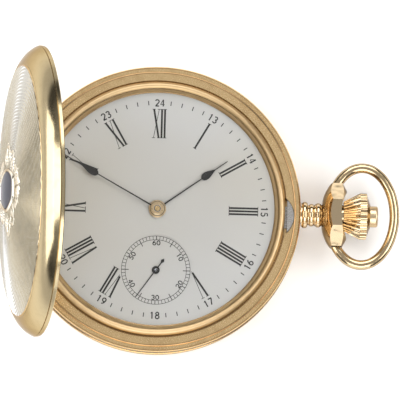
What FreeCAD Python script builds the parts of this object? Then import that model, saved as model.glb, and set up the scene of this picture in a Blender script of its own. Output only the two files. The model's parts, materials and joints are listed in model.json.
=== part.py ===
"""Hunter pocket watch: sprung front cover, hinged back, stem winding through the crown.

Frame: the watch lies on its back.  +Z is the dial's outward normal, +X points at the crown
(3 o'clock) and +Y at 12 o'clock.  The origin is the centre of the flat resting face of the back.
Sizes are millimetres.
"""
import FreeCAD, Part
import math
import os
from types import SimpleNamespace

import Sketcher
from FreeCAD import Placement, Rotation, Vector

DIMENSIONS = """
case_radius        25.0    outer radius of the band and of both covers
rim_back           4.4     height of the back cover's rim plane
rim_front          9.2     height of the front cover's rim plane when closed
seat_gap           0.1     gap between a closed cover and its ledge
shell_wall         0.5     wall of both covers
rest_radius        14.0    flat disc on which the watch lies
back_shoulder_r    21.5    radius where the back's shoulder meets its crown
back_shoulder_rise 1.45    height of that circle
cover_shoulder_r   22.0    radius where the front cover's shoulder meets its dome
cover_shoulder_h   3.4     rise of that circle over the rim plane
cover_dome_h       5.75    rise of the dome's middle over the rim plane
bead_height        0.6     height of the plain bead around a cover's rim
shoulder_arc       5.2     radius of the shoulder's section
back_arc           60.0    radius of the back's crown section
case_bore          21.0    inner radius of the band
spring_bore        22.3    radius of the recess for the case springs
plateau_inner      22.45   inner edge of the rim's plateau
plateau_outer      24.05   outer edge of the rim's plateau
plateau_height     9.3     height of the rim's plateau
bezel_seat         8.9     height of the bezel's seat
bezel_inner        20.4    radius of the opening over the dial
bezel_outer        22.25   outer radius of the bezel
bezel_top          10.3    height of the bezel's crest
crystal_radius     21.05   radius of the watch glass
crystal_edge_low   9.15    underside of the glass at its edge
crystal_edge_high  10.05   top of the glass at its edge
crystal_apex       11.5    top of the glass in the middle
crystal_wall       0.55    thickness of the glass in the middle
hinge_x            24.7    distance of both hinge axes from the middle
hinge_turn         1.8     turn of the hinges from 9 towards 8 o'clock, degrees
hinge_radius       0.7     radius of the hinge knuckles
hinge_clear        0.85    radius of the space cut around a mating knuckle
hinge_pin_r        0.3     radius of the hinge pins
hinge_bore_r       0.33    bore of the knuckles
hinge_half         8.0     half the length of a hinge
knuckle_inner      1.6     half length of the middle knuckle
knuckle_outer      4.85    inner end of the outer knuckles
knuckle_gap        0.1     side gap between knuckles
cover_open         80.6    angle at which the front cover stands open, degrees
stem_height        6.2     height of the winding axis
pendant_root       25.15   where the neck leaves the band
neck_radius        2.3     radius over the neck's ribs
neck_end           28.7    outer end of the ribbed neck
bulb_radius        6.0     radius that the head is turned to
bulb_start         30.6    inner end of the head's widest part
bulb_end           32.15   outer end of the head's widest part
bulb_face          33.1    outer face of the head
bulb_face_r        4.2     radius of the head's outer face
bulb_flat          5.5     half distance across the flats of the eight-sided head
bulb_flank         6.7     radius of the section between neck and head
scoop_floor        32.0    deepest point of the hollow that faces the crown
scoop_radius       8.57    radius of that hollow
pendant_bore       0.95    bore of the pendant
bow_pivot          31.4    distance of the bow's pivot from the middle
bow_half_length    5.72    half axis of the bow's oval along the stem
bow_half_width     8.52    half axis of the bow's oval across it
bow_centre         4.32    oval centre measured from the pivot
bow_wire           0.85    radius of the bow's wire
bow_pin            0.55    radius of the bow's pins
crown_neck_r       1.9     radius of the crown's neck
crown_start        32.15   inner end of the crown's neck
crown_cone         32.5    start of the crown's cone
crown_cone_r       2.55    radius at the start of the cone
crown_wide         35.35   where the crown reaches its full radius
crown_radius       4.05    full radius of the crown
crown_wide_end     36.5    outer end of the full radius
crown_face         37.15   outer face of the crown
crown_flutes       26      number of flutes
flute_radius       0.36    radius of a flute at the rim
flute_start_r      0.2     radius of a flute at the neck
button_radius      1.83    radius of the release button
button_end         38.5    outer end of the button
latch_radius       3.9     radius of the latch's outer face
latch_inner        22.62   inner face of the latch
latch_outer        23.8    outermost point of the latch
latch_top          9.5     top of the latch
latch_travel       0.3     travel of the latch
latch_offset       0.7     distance of the latch's middle below the winding axis, in the plan
dial_radius        20.85   radius of the dial
dial_low           8.5     underside of the dial
dial_top           8.85    face of the dial
subdial_y          10.7    distance of the seconds dial below the middle
subdial_r          6.25    radius of the seconds dial's recess
subdial_depth      0.12    depth of that recess
hour_length        14.8    length of the hour hand
minute_length      18.9    length of the minute hand
seconds_length     5.82    length of the seconds hand
seconds_tail       2.5     length of the seconds hand's tail
hand_wall          0.16    thickness of a hand
hour_hand_z        9.08    underside of the hour hand
minute_hand_z      9.45    underside of the minute hand
seconds_hand_z     8.8     underside of the seconds hand
hour_bush_r        1.53    radius of the hour hand's bush
minute_bush_r      1.12    radius of the minute hand's bush
hour_angle         54.3    hour hand, degrees clockwise from 12
minute_angle       298.8   minute hand, degrees clockwise from 12
seconds_angle      215.3   seconds hand, degrees clockwise from 12
plate_radius       18.3    radius of the movement
plate_low          6.6     back face of the main plate
plate_high         8.4     dial face of the main plate
bridge_low         3.95    outer face of the bridges
bridge_floor       4.6     bottom of the recess for the winding wheels
bridge_high        5.2     inner face of the bridges
pillar_inner       17.25   inner radius of the bridges' feet
bridge_split       1.75    distance of the line between the bridges from the stem
motion_floor       7.2     floor of the recess for the motion work
train_ceiling      6.98    bottom of the recess for the centre wheel
ring_inner         18.35   inner radius of the movement ring
ring_outer         20.9    outer radius of the movement ring
barrel_x           4.5     barrel arbor, towards 3 o'clock
barrel_y           7.794   barrel arbor, towards 12 o'clock
barrel_radius      7.5     radius of the barrel drum
barrel_low         5.35    back face of the barrel
barrel_high        6.5     dial face of the barrel
ratchet_module     0.2     module of the barrel and winding wheels
ratchet_teeth      66      teeth of the ratchet wheel
crown_teeth        35      teeth of the crown wheel
barrel_teeth       78      teeth of the barrel
centre_leaves      12      leaves of the centre pinion
crown_wheel_x      10.923  axis of the crown wheel
winding_teeth      18      teeth of the winding pinion
centre_module      0.17    module of the centre wheel
centre_teeth       80      teeth of the centre wheel
third_module       0.15    module of the third wheel
third_teeth        75      teeth of the third wheel
fourth_module      0.12    module of the fourth wheel
fourth_teeth       80      teeth of the fourth wheel
third_leaves       10      leaves of the third and fourth pinions
escape_leaves      8       leaves of the escape pinion
escape_teeth       15      teeth of the escape wheel
third_x            4.5     third arbor, towards 9 o'clock
third_y            6.185   third arbor, towards 6 o'clock
escape_x           4.96    escape arbor, towards 3 o'clock
escape_y           8.9     escape arbor, towards 6 o'clock
balance_x          10.9    balance staff, towards 3 o'clock
balance_y          7.4     balance staff, towards 6 o'clock
pallet_offset      2.89    distance from escape arbor to pallet arbor
balance_radius     4.9     radius of the balance
balance_rim        0.6     width of the balance's rim
cannon_teeth       12      teeth of the cannon and minute pinions
minute_teeth       36      teeth of the minute wheel
hour_teeth         48      teeth of the hour wheel
cannon_module      0.15    module of the cannon pinion
hour_module        0.12    module of the hour wheel
minute_wheel_x     3.6     axis of the minute wheel
setting_teeth      20      teeth of the setting wheel
setting_wheel_x    7.8     axis of the setting wheel
pivot_radius       0.12    radius of the train's pivots
jewel_radius       0.6     radius of a jewel
jewel_bore         0.15    bore of a jewel
"""

document = FreeCAD.newDocument("hunter_pocket_watch")
sheet = document.addObject("Spreadsheet::Sheet", "Dims")


class Size(float):
    """A number that remembers the spreadsheet expression it comes from."""

    def __new__(cls, value, text=None):
        self = float.__new__(cls, value)
        self.text = text or repr(float(value))
        return self

    def __add__(self, other):
        other = as_size(other)
        return Size(float(self) + float(other), f"({self.text} + {other.text})")

    def __sub__(self, other):
        other = as_size(other)
        return Size(float(self) - float(other), f"({self.text} - {other.text})")

    def __mul__(self, other):
        other = as_size(other)
        return Size(float(self) * float(other), f"({self.text} * {other.text})")

    def __truediv__(self, other):
        other = as_size(other)
        return Size(float(self) / float(other), f"({self.text} / {other.text})")

    def __radd__(self, other):
        return as_size(other) + self

    def __rsub__(self, other):
        return as_size(other) - self

    def __rmul__(self, other):
        return as_size(other) * self

    def __neg__(self):
        return Size(-float(self), f"(-1 * {self.text})")


def as_size(number):
    return number if isinstance(number, Size) else Size(number)


def fill_sheet():
    """Write the driving dimensions to the sheet and return them by name."""
    sizes = {}
    for row, line in enumerate(DIMENSIONS.strip().splitlines(), start=1):
        name, value, meaning = line.split(maxsplit=2)
        sheet.set(f"A{row}", meaning)
        sheet.set(f"B{row}", value)
        sheet.setAlias(f"B{row}", name)
        sizes[name] = Size(value, f"Dims.{name}")
    document.recompute()
    return SimpleNamespace(**sizes)


D = fill_sheet()
NODES = {}


# ---------------------------------------------------------------- helpers

def node(label, thing):
    """Register an object as one sub-part."""
    thing.Label = label
    NODES[label] = thing
    return thing


def bind(thing, **values):
    """Bind properties to expressions; underscores in names stand for dots."""
    for name, value in values.items():
        value = as_size(value)
        thing.setExpression(name.replace("__", "."), value.text)
    return thing


def place(thing, at, turn=None):
    """Put an object at a point bound to the sheet, with an optional fixed rotation."""
    if turn is not None:
        thing.Placement = Placement(Vector(), turn)
    bind(thing, Placement__Base__x=at[0], Placement__Base__y=at[1], Placement__Base__z=at[2])
    return thing


def cylinder(radius, low, high, x=0, y=0):
    """A cylinder standing along Z."""
    thing = document.addObject("Part::Cylinder", "cylinder")
    bind(thing, Radius=radius, Height=as_size(high) - low)
    return place(thing, (x, y, low))


def ring(outer, inner, low, high, x=0, y=0):
    """A tube standing along Z."""
    return cut(cylinder(outer, low, high, x, y), cylinder(inner, as_size(low) - 1, as_size(high) + 1, x, y))


def rod_x(radius, start, end, y=0, z=D.stem_height):
    """A cylinder lying along X."""
    thing = document.addObject("Part::Cylinder", "rod")
    bind(thing, Radius=radius, Height=as_size(end) - start)
    return place(thing, (start, y, z), Rotation(Vector(0, 1, 0), 90))


def rod_y(radius, start, end, x, z):
    """A cylinder lying along Y."""
    thing = document.addObject("Part::Cylinder", "rod")
    bind(thing, Radius=radius, Height=as_size(end) - start)
    return place(thing, (x, start, z), Rotation(Vector(1, 0, 0), -90))


def block(x, y, z):
    """A box given by its (low, high) spans."""
    thing = document.addObject("Part::Box", "block")
    bind(thing, Length=as_size(x[1]) - x[0], Width=as_size(y[1]) - y[0], Height=as_size(z[1]) - z[0])
    return place(thing, (x[0], y[0], z[0]))


def bar(start, end, width, low, high):
    """A straight bar between two points of the plan, with round ends."""
    length = math.hypot(end[0] - start[0], end[1] - start[1])
    angle = math.degrees(math.atan2(end[1] - start[1], end[0] - start[0]))
    thing = document.addObject("Part::Box", "bar")
    bind(thing, Width=width, Height=as_size(high) - low)
    thing.Length = length
    turn = Rotation(Vector(0, 0, 1), angle)
    corner = turn.multVec(Vector(0, -float(width) / 2, 0))
    thing.Placement = Placement(Vector(start[0] + corner.x, start[1] + corner.y, float(low)), turn)
    ends = [cylinder(as_size(width) / 2, low, high, *point) for point in (start, end)]
    return fuse(thing, *ends)


def fuse(*shapes):
    """One solid from several."""
    if len(shapes) == 1:
        return shapes[0]
    thing = document.addObject("Part::MultiFuse", "fusion")
    thing.Shapes = list(shapes)
    return thing


def cut(base, *tools):
    """A solid with others cut away."""
    thing = document.addObject("Part::Cut", "cut")
    thing.Base = base
    thing.Tool = fuse(*tools)
    return thing


def common(*shapes):
    """What several solids share."""
    thing = document.addObject("Part::MultiCommon", "common")
    thing.Shapes = list(shapes)
    return thing


def feature(shape):
    """An object whose shape Part's own functions made."""
    thing = document.addObject("Part::Feature", "shape")
    thing.Shape = shape
    return thing


def attached_sketch(body, name, role):
    """A sketch on one of a body's own origin planes."""
    sketch = body.newObject("Sketcher::SketchObject", name)
    plane = next(item for item in body.Origin.OriginFeatures if item.Role == role)
    sketch.AttachmentSupport = [(plane, "")]
    sketch.MapMode = "FlatFace"
    return sketch


def arc_between(start, end, radius):
    """An arc; a positive radius has its centre to the left of the way from start to end."""
    half = Vector(end[0] - start[0], end[1] - start[1], 0) * 0.5
    middle = Vector(start[0], start[1], 0) + half
    left = Vector(-half.y, half.x, 0).normalize()
    depth = math.sqrt(radius * radius - half.Length ** 2)
    centre = middle + left * math.copysign(depth, radius)
    first, last = (start, end) if radius > 0 else (end, start)
    angles = [math.atan2(p[1] - centre.y, p[0] - centre.x) for p in (first, last)]
    return Part.ArcOfCircle(Part.Circle(centre, Vector(0, 0, 1), abs(radius)), *angles)


def draw_outline(sketch, outline):
    """Draw a closed outline and bind each corner; a third number makes the next edge an arc."""
    starts, ends = [], []
    for index, point in enumerate(outline):
        following = outline[(index + 1) % len(outline)]
        if len(point) == 3:
            edge = arc_between(point, following, point[2])
            start, end = (1, 2) if point[2] > 0 else (2, 1)
        else:
            edge = Part.LineSegment(Vector(point[0], point[1], 0), Vector(following[0], following[1], 0))
            start, end = 1, 2
        sketch.addGeometry(edge, False)
        starts.append(start)
        ends.append(end)
    for index in range(len(outline)):
        following = (index + 1) % len(outline)
        sketch.addConstraint(Sketcher.Constraint("Coincident", index, ends[index], following, starts[following]))
    for index, point in enumerate(outline):
        for kind, value in (("DistanceX", point[0]), ("DistanceY", point[1])):
            value = as_size(value)
            place_in = sketch.addConstraint(Sketcher.Constraint(kind, index, starts[index], float(value)))
            if "Dims" in value.text:
                sketch.setExpression(f"Constraints[{place_in}]", value.text)
        if len(point) == 3:
            radius = as_size(point[2])
            place_in = sketch.addConstraint(Sketcher.Constraint("Radius", index, abs(float(radius))))
            if "Dims" in radius.text:
                sketch.setExpression(f"Constraints[{place_in}]", f"abs({radius.text})")


def turned(name, outline, axis="Z"):
    """A body turned from an outline of (radius, height), or (place, radius) along X."""
    body = document.addObject("PartDesign::Body", name)
    sketch = attached_sketch(body, name + "_outline", "XZ_Plane")
    draw_outline(sketch, outline)
    turn = body.newObject("PartDesign::Revolution", name + "_turn")
    turn.Profile = sketch
    turn.ReferenceAxis = (sketch, ["V_Axis" if axis == "Z" else "H_Axis"])
    turn.Angle = 360
    return body


def polygon_prism(points, low, high):
    """A straight prism over a polygon of the plan."""
    corners = [Vector(x, y, float(low)) for x, y in points]
    face = Part.Face(Part.makePolygon(corners + corners[:1]))
    return face.extrude(Vector(0, 0, float(high) - float(low)))


def polar(radius, angle):
    return radius * math.cos(angle), radius * math.sin(angle)


def gear_points(teeth, module, phase=0.0, width=0.40, addendum=0.95, dedendum=1.3):
    """Corners of a gear with straight-flanked teeth; width is a tooth's share of the pitch."""
    teeth = int(teeth)
    pitch_radius = teeth * module / 2
    points = []
    for tooth in range(teeth):
        middle = phase + 2 * math.pi * tooth / teeth
        for radius, share in (
            (pitch_radius - dedendum * module, -1.35),
            (pitch_radius + addendum * module, -0.5),
            (pitch_radius + addendum * module, 0.5),
            (pitch_radius - dedendum * module, 1.35),
        ):
            points.append(polar(radius, middle + share * width * math.pi / teeth))
    return points


def gear_shape(teeth, module, low, high, x=0.0, y=0.0, phase=0.0, bore=None, spokes=0, width=0.40):
    """A gear; with spokes, its web is cut into that many windows."""
    shape = polygon_prism(gear_points(teeth, module, phase, width), low, high)
    height = float(high) - float(low)
    root = teeth * module / 2 - 1.3 * module
    if spokes:
        outer = Part.makeCylinder(root * 0.84, height)
        hub = Part.makeCylinder(max(root * 0.22, 0.55), height)
        windows = outer.cut(hub)
        for index in range(spokes):
            arm = Part.makeBox(root, root * 0.11, height, Vector(0, -root * 0.055, 0))
            arm.rotate(Vector(), Vector(0, 0, 1), 360.0 * index / spokes + 20)
            windows = windows.cut(arm)
        windows.translate(Vector(0, 0, float(low)))
        shape = shape.cut(windows)
    if bore:
        shape = shape.cut(Part.makeCylinder(bore, height, Vector(0, 0, float(low))))
    shape.translate(Vector(float(x), float(y), 0))
    return shape


def solid_cylinder(radius, low, high, x=0.0, y=0.0):
    """A cylinder as a plain shape, for shapes made by Part's own functions."""
    return Part.makeCylinder(float(radius), float(high) - float(low), Vector(float(x), float(y), float(low)))


def arbor_shape(x, y, *steps):
    """A stepped arbor: steps of (radius, low, high)."""
    pieces = [solid_cylinder(radius, low, high, x, y) for radius, low, high in steps]
    return pieces[0].multiFuse(pieces[1:]).removeSplitter() if len(pieces) > 1 else pieces[0]


def mesh_phase(teeth_a, phase_a, teeth_b, direction):
    """Phase for gear b so that its gap faces a tooth of gear a; direction is from a to b."""
    offset = (phase_a - direction) * teeth_a / teeth_b
    return direction + math.pi - offset + math.pi / teeth_b


def direction(start, end):
    return math.atan2(end[1] - start[1], end[0] - start[0])


def sphere_radius(edge_radius, rise):
    """Radius of the sphere whose cap has a given edge radius and rise."""
    return (edge_radius * edge_radius + rise * rise) / (rise * 2)


# ---------------------------------------------------------------- case

HINGE_COS = Size(math.cos(math.radians(D.hinge_turn)), "cos(Dims.hinge_turn * 1 deg)")
HINGE_SIN = Size(math.sin(math.radians(D.hinge_turn)), "sin(Dims.hinge_turn * 1 deg)")


def hinge_rod(radius, low, high, z):
    """A cylinder along the hinge axis at a height."""
    thing = document.addObject("Part::Cylinder", "hinge_rod")
    low = as_size(low)
    bind(thing, Radius=radius, Height=as_size(high) - low)
    turn = Rotation(Vector(0, 0, 1), float(D.hinge_turn)) * Rotation(Vector(1, 0, 0), -90)
    x = -D.hinge_x * HINGE_COS - low * HINGE_SIN
    y = low * HINGE_COS - D.hinge_x * HINGE_SIN
    return place(thing, (x, y, z), turn)


def knuckles(spans, z):
    """Hinge knuckles along the hinge axis at a height."""
    return [hinge_rod(D.hinge_radius, low, high, z) for low, high in spans]


CASE_SPANS = [
    (-D.hinge_half, -D.knuckle_outer),
    (-D.knuckle_inner, D.knuckle_inner),
    (D.knuckle_outer, D.hinge_half),
]
COVER_SPANS = [
    (-D.knuckle_outer + D.knuckle_gap, -D.knuckle_inner - D.knuckle_gap),
    (D.knuckle_inner + D.knuckle_gap, D.knuckle_outer - D.knuckle_gap),
]


def knuckle_space(spans, z):
    """The room that a mating part's knuckles need."""
    return [
        hinge_rod(D.hinge_clear, low - D.knuckle_gap, high + D.knuckle_gap, z)
        for low, high in spans
    ]


def latch_solid(grow, inner, low, high):
    """The latch's lens: a slice of a cylinder, flat towards the dial."""
    slice_disc = cylinder(
        D.latch_radius + grow, low, high, D.latch_outer - D.latch_radius, -D.latch_offset)
    half = D.latch_radius + 1
    return common(slice_disc, block((inner, D.latch_outer + 1), (-half, half), (low, high)))


def make_band():
    """The middle band of the case, with its knuckles, spring recess and latch slot."""
    low = D.rim_back + D.seat_gap
    ledge = D.rim_front - D.seat_gap
    outline = [
        (D.case_bore, low - 0.6),
        (D.plateau_outer - 0.5, low - 0.6),
        (D.plateau_outer - 0.3, low),
        (D.case_radius - 0.25, low),
        (D.case_radius, low + 0.3),
        (D.case_radius, low + 1.0),
        (D.case_radius - 0.12, low + 1.1),
        (D.case_radius - 0.12, ledge - 1.1),
        (D.case_radius, ledge - 1.0),
        (D.case_radius, ledge - 0.25),
        (D.case_radius - 0.2, ledge),
        (D.plateau_outer + 0.05, ledge),
        (D.plateau_outer, D.plateau_height - 0.05),
        (D.plateau_outer - 0.12, D.plateau_height),
        (D.plateau_inner + 0.1, D.plateau_height),
        (D.plateau_inner, D.plateau_height - 0.1),
        (D.plateau_inner, D.bezel_seat),
        (D.case_bore, D.bezel_seat),
    ]
    band = turned("band", outline)
    tools = [
        ring(D.spring_bore, D.case_bore - 1, 5.3, 8.3),
        rod_x(1.5, D.case_bore - 1, D.case_radius + 1),
        latch_solid(0.1, D.latch_inner - D.latch_travel - 0.25, 7.0, 12.0),
    ]
    tools += knuckle_space(COVER_SPANS, D.rim_front)
    tools += knuckle_space(COVER_SPANS, D.rim_back)
    bores = [
        hinge_rod(D.hinge_bore_r, -D.hinge_half - 1, D.hinge_half + 1, z)
        for z in (D.rim_front, D.rim_back)
    ]
    body = fuse(cut(band, *tools), *knuckles(CASE_SPANS, D.rim_front), *knuckles(CASE_SPANS, D.rim_back))
    screw_holes = [spring_screw_hole(angle) for angle in SPRING_SCREWS]
    node("case_middle", cut(body, *bores, *screw_holes))


SPRING_SCREWS = (-78.0, 102.0)


def spring_screw_hole(angle, grow=0.03):
    """Hole through a case spring and into the band, along the band's radius."""
    hole = document.addObject("Part::Cylinder", "screw_hole")
    hole.Radius = 0.35 + grow
    hole.Height = 2.1 + grow
    turn = Rotation(Vector(0, 0, 1), angle) * Rotation(Vector(0, 1, 0), 90)
    foot = Rotation(Vector(0, 0, 1), angle).multVec(Vector(21.6, 0, 6.8))
    hole.Placement = Placement(foot, turn)
    return hole


def spring_arm(start, end):
    """A curved strip of spring in the band's recess, between two angles in degrees."""
    strip = ring(D.spring_bore - 0.1, D.spring_bore - 0.55, 5.9, 7.7)
    reach = 60
    corners = [(0, 0)] + [polar(reach, math.radians(start + (end - start) * k / 4)) for k in range(5)]
    wedge = feature(polygon_prism(corners, 5, 9))
    return common(strip, wedge)


def make_case_springs():
    """Lock spring with its latch, fly spring and the screws that hold them."""
    latch = latch_solid(0, D.latch_inner, 7.4, D.latch_top)
    foot = block(
        (D.spring_bore - 0.55, D.latch_inner + 0.5), (-D.latch_offset - 1.9, -D.latch_offset + 1.9), (7.2, 7.7))
    lock = fuse(latch, foot, spring_arm(-86.0, -3.0))
    room = rod_x(0.95, D.case_bore - 1, D.case_radius + 1)
    node("lock_spring", cut(lock, spring_screw_hole(SPRING_SCREWS[0], 0.35), room))
    node("fly_spring", cut(spring_arm(95.0, 172.0), spring_screw_hole(SPRING_SCREWS[1])))
    screws = []
    for angle in SPRING_SCREWS:
        shank = spring_screw_hole(angle, 0.0)
        head = document.addObject("Part::Cylinder", "screw_head")
        head.Radius = 0.65
        head.Height = 0.4
        head.Placement = Placement(
            Rotation(Vector(0, 0, 1), angle).multVec(Vector(21.2, 0, 6.8)), shank.Placement.Rotation
        )
        screws.append(fuse(head, shank))
    node("spring_screws", feature_group(screws))


def feature_group(objects):
    """Several separate solids in one node."""
    document.recompute()
    return feature(Part.makeCompound([thing.Shape for thing in objects]))


def cover_outline(rim, sign, shoulder_r, shoulder_h, top_r, top_h, crown_arc=None):
    """Outline of a cover: bead, shoulder and crown; sign is +1 for the front, -1 for the back."""
    wall = D.shell_wall
    outer = D.case_radius

    def level(height):
        return rim + height if sign > 0 else rim - height

    arc = D.shoulder_arc * sign
    if top_r > 0:
        crown, inner_crown = crown_arc * sign, -crown_arc * sign
    else:
        crown = sphere_radius(shoulder_r - 0.3, top_h - shoulder_h - 0.05)
        inner_crown = -sphere_radius(shoulder_r - 0.35, top_h - shoulder_h)
    points = [
        (outer - 0.75, level(0.0)),
        (outer - 0.05, level(0.0)),
        (outer, level(0.1)),
        (outer, level(D.bead_height)),
        (outer - 0.14, level(D.bead_height + 0.08)),
        (outer - 0.08, level(D.bead_height + 0.2), arc),
        (shoulder_r, level(shoulder_h)),
        (shoulder_r - 0.15, level(shoulder_h - 0.02)),
        (shoulder_r - 0.3, level(shoulder_h + 0.05), crown),
        (top_r, level(top_h)),
    ]
    if top_r > 0:
        points += [(0, level(top_h)), (0, level(top_h - wall)), (top_r, level(top_h - wall), inner_crown)]
    else:
        points += [(0, level(top_h - wall), inner_crown)]
    points += [
        (shoulder_r - 0.35, level(shoulder_h - wall), -arc),
        (outer - 0.65, level(D.bead_height)),
        (outer - 0.65, level(0.4)),
        (outer - 0.75, level(0.3)),
    ]
    return points


def make_covers():
    """Front cover, standing open, and back cover, closed, each with its knuckles."""
    front = turned("front_shell", cover_outline(
        D.rim_front, 1, D.cover_shoulder_r, D.cover_shoulder_h, 0, D.cover_dome_h))
    back = turned("back_shell", cover_outline(
        D.rim_back, -1, D.back_shoulder_r, D.rim_back - D.back_shoulder_rise,
        D.rest_radius, D.rim_back, D.back_arc))
    for label, shell, z in (("front_cover", front, D.rim_front), ("back_cover", back, D.rim_back)):
        body = fuse(cut(shell, *knuckle_space(CASE_SPANS, z)), *knuckles(COVER_SPANS, z))
        bore = hinge_rod(D.hinge_bore_r, -D.hinge_half - 1, D.hinge_half + 1, z)
        node(label, cut(body, bore))
        pin = hinge_rod(D.hinge_pin_r, -D.hinge_half + 0.05, D.hinge_half - 0.05, z)
        node(label.replace("cover", "hinge_pin"), pin)
    turn = Rotation(Vector(0, 0, 1), float(D.hinge_turn))
    pivot = turn.multVec(Vector(-float(D.hinge_x), 0, float(D.rim_front)))
    swing = Rotation(turn.multVec(Vector(0, 1, 0)), -float(D.cover_open))
    NODES["front_cover"].Placement = Placement(Vector(), swing, pivot)


def make_bezel_and_crystal():
    """Snap-on bezel and the domed watch glass that it holds."""
    node("bezel", turned("bezel_ring", [
        (D.bezel_inner, D.bezel_seat + 0.03),
        (D.bezel_outer, D.bezel_seat + 0.03),
        (D.bezel_outer, D.bezel_top - 0.75, 0.75),
        (D.bezel_outer - 0.6, D.bezel_top, 0.75),
        (D.crystal_radius + 0.04, D.bezel_top - 0.3),
        (D.crystal_radius + 0.04, D.crystal_edge_low - 0.03),
        (D.bezel_inner + 0.2, D.crystal_edge_low - 0.03),
        (D.bezel_inner, D.crystal_edge_low - 0.12),
    ]))
    outer = sphere_radius(D.crystal_radius, D.crystal_apex - D.crystal_edge_high)
    inner_edge = D.crystal_edge_high - 0.45
    inner = sphere_radius(D.crystal_radius - 0.6, D.crystal_apex - D.crystal_wall - inner_edge)
    node("crystal", turned("crystal_dome", [
        (D.crystal_radius, D.crystal_edge_low),
        (D.crystal_radius, D.crystal_edge_high, outer),
        (0, D.crystal_apex),
        (0, D.crystal_apex - D.crystal_wall, -inner),
        (D.crystal_radius - 0.6, inner_edge),
        (D.crystal_radius - 0.6, D.crystal_edge_low),
    ]))


# ---------------------------------------------------------------- pendant, bow and crown

RIB_SWELL = (1.0, 0.86, 0.93)


def make_pendant():
    """Ribbed neck and eight-sided head, bored for the stem and for the bow's pins."""
    pitch = (D.neck_end - D.pendant_root) / len(RIB_SWELL)
    root = D.case_radius - 1.1
    outline = [(root, D.pendant_bore), (root, 1.48), (D.pendant_root, 1.48)]
    for index, swell in enumerate(RIB_SWELL):
        start = D.pendant_root + pitch * index
        valley = D.neck_radius * swell - 0.25
        outline += [
            (start, valley),
            (start + 0.12, valley, -0.58),
            (start + pitch - 0.12, valley),
        ]
    outline += [
        (D.neck_end, 1.8),
        (D.neck_end + 0.05, 2.0, -D.bulb_flank),
        (D.bulb_start, D.bulb_radius),
        (D.bulb_end, D.bulb_radius),
        (D.bulb_face, D.bulb_face_r),
        (D.bulb_face, D.crown_neck_r + 0.35),
        (D.crown_start - 0.1, D.crown_neck_r + 0.35),
        (D.crown_start - 0.1, D.pendant_bore),
    ]
    head = turned("pendant_head", outline, axis="X")
    place(head, (0, 0, D.stem_height))
    prism = document.addObject("Part::Prism", "head_prism")
    prism.Polygon = 8
    bind(prism, Circumradius=D.bulb_flat / math.cos(math.pi / 8), Height=D.case_radius)
    flat_up = Rotation(Vector(0, 1, 0), 90) * Rotation(Vector(0, 0, 1), 22.5)
    place(prism, (D.case_radius - 5, 0, D.stem_height), flat_up)
    scoop = cylinder(D.scoop_radius, -1, 14, D.scoop_floor + D.scoop_radius)
    holes = [
        rod_y(D.bow_pin + 0.05, low, high, D.bow_pivot, D.stem_height)
        for low, high in ((D.bulb_flat - 1.2, D.bulb_flat + 1), (-D.bulb_flat - 1, -D.bulb_flat + 1.2))
    ]
    saddle = ring(D.case_radius + 3, D.case_radius + 0.03, 0, 12)
    tenon = rod_x(1.48, D.case_bore, D.case_radius + 1)
    space = fuse(saddle, tenon, block((26, 40), (-8, 8), (0, 13)))
    node("pendant", cut(common(head, prism, space), scoop, *holes))


def make_bow():
    """Oval ring, cut flat at both ends, with pins that turn in the pendant."""
    half_x, centre = float(D.bow_half_length), float(D.bow_centre)
    overrun = 0.12
    limit = math.acos(-centre / half_x) + overrun
    oval = Part.Ellipse(
        Vector(centre, float(D.bow_half_width), 0), Vector(centre + half_x, 0, 0), Vector(centre, 0, 0))
    start_at, end_at = oval.parameter(oval_point(limit)), oval.parameter(oval_point(-limit))
    low, high = oval_span(oval, start_at, end_at)
    path = Part.Wire(Part.ArcOfEllipse(oval, low, high).toShape())
    edge = path.Edges[0]
    tangent = edge.tangentAt(edge.FirstParameter)
    section = Part.Wire(Part.makeCircle(float(D.bow_wire), edge.valueAt(edge.FirstParameter), tangent))
    wire = path.makePipeShell([section], True, True)
    wire.translate(Vector(float(D.bow_pivot), 0, float(D.stem_height)))
    foot = D.bulb_flat + 0.1
    gap = block((D.bow_pivot - 3, D.bow_pivot + 3), (-foot, foot), (0, 13))
    pins = [
        rod_y(D.bow_pin, low, high, D.bow_pivot, D.stem_height)
        for low, high in ((foot - 1.1, foot + 0.2), (-foot - 0.2, -foot + 1.1))
    ]
    node("bow", fuse(cut(feature(wire), gap), *pins))


def oval_point(angle):
    """Point of the bow's oval at an angle of its own parameter."""
    return Vector(
        float(D.bow_centre) + float(D.bow_half_length) * math.cos(angle),
        float(D.bow_half_width) * math.sin(angle), 0)


def oval_span(oval, first, second):
    """The parameter span between two points that passes the oval's far end."""
    far = oval.parameter(oval_point(0.0))
    low, high = sorted((first, second))
    if low <= far <= high:
        return low, high
    return high - 2 * math.pi, low


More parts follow.
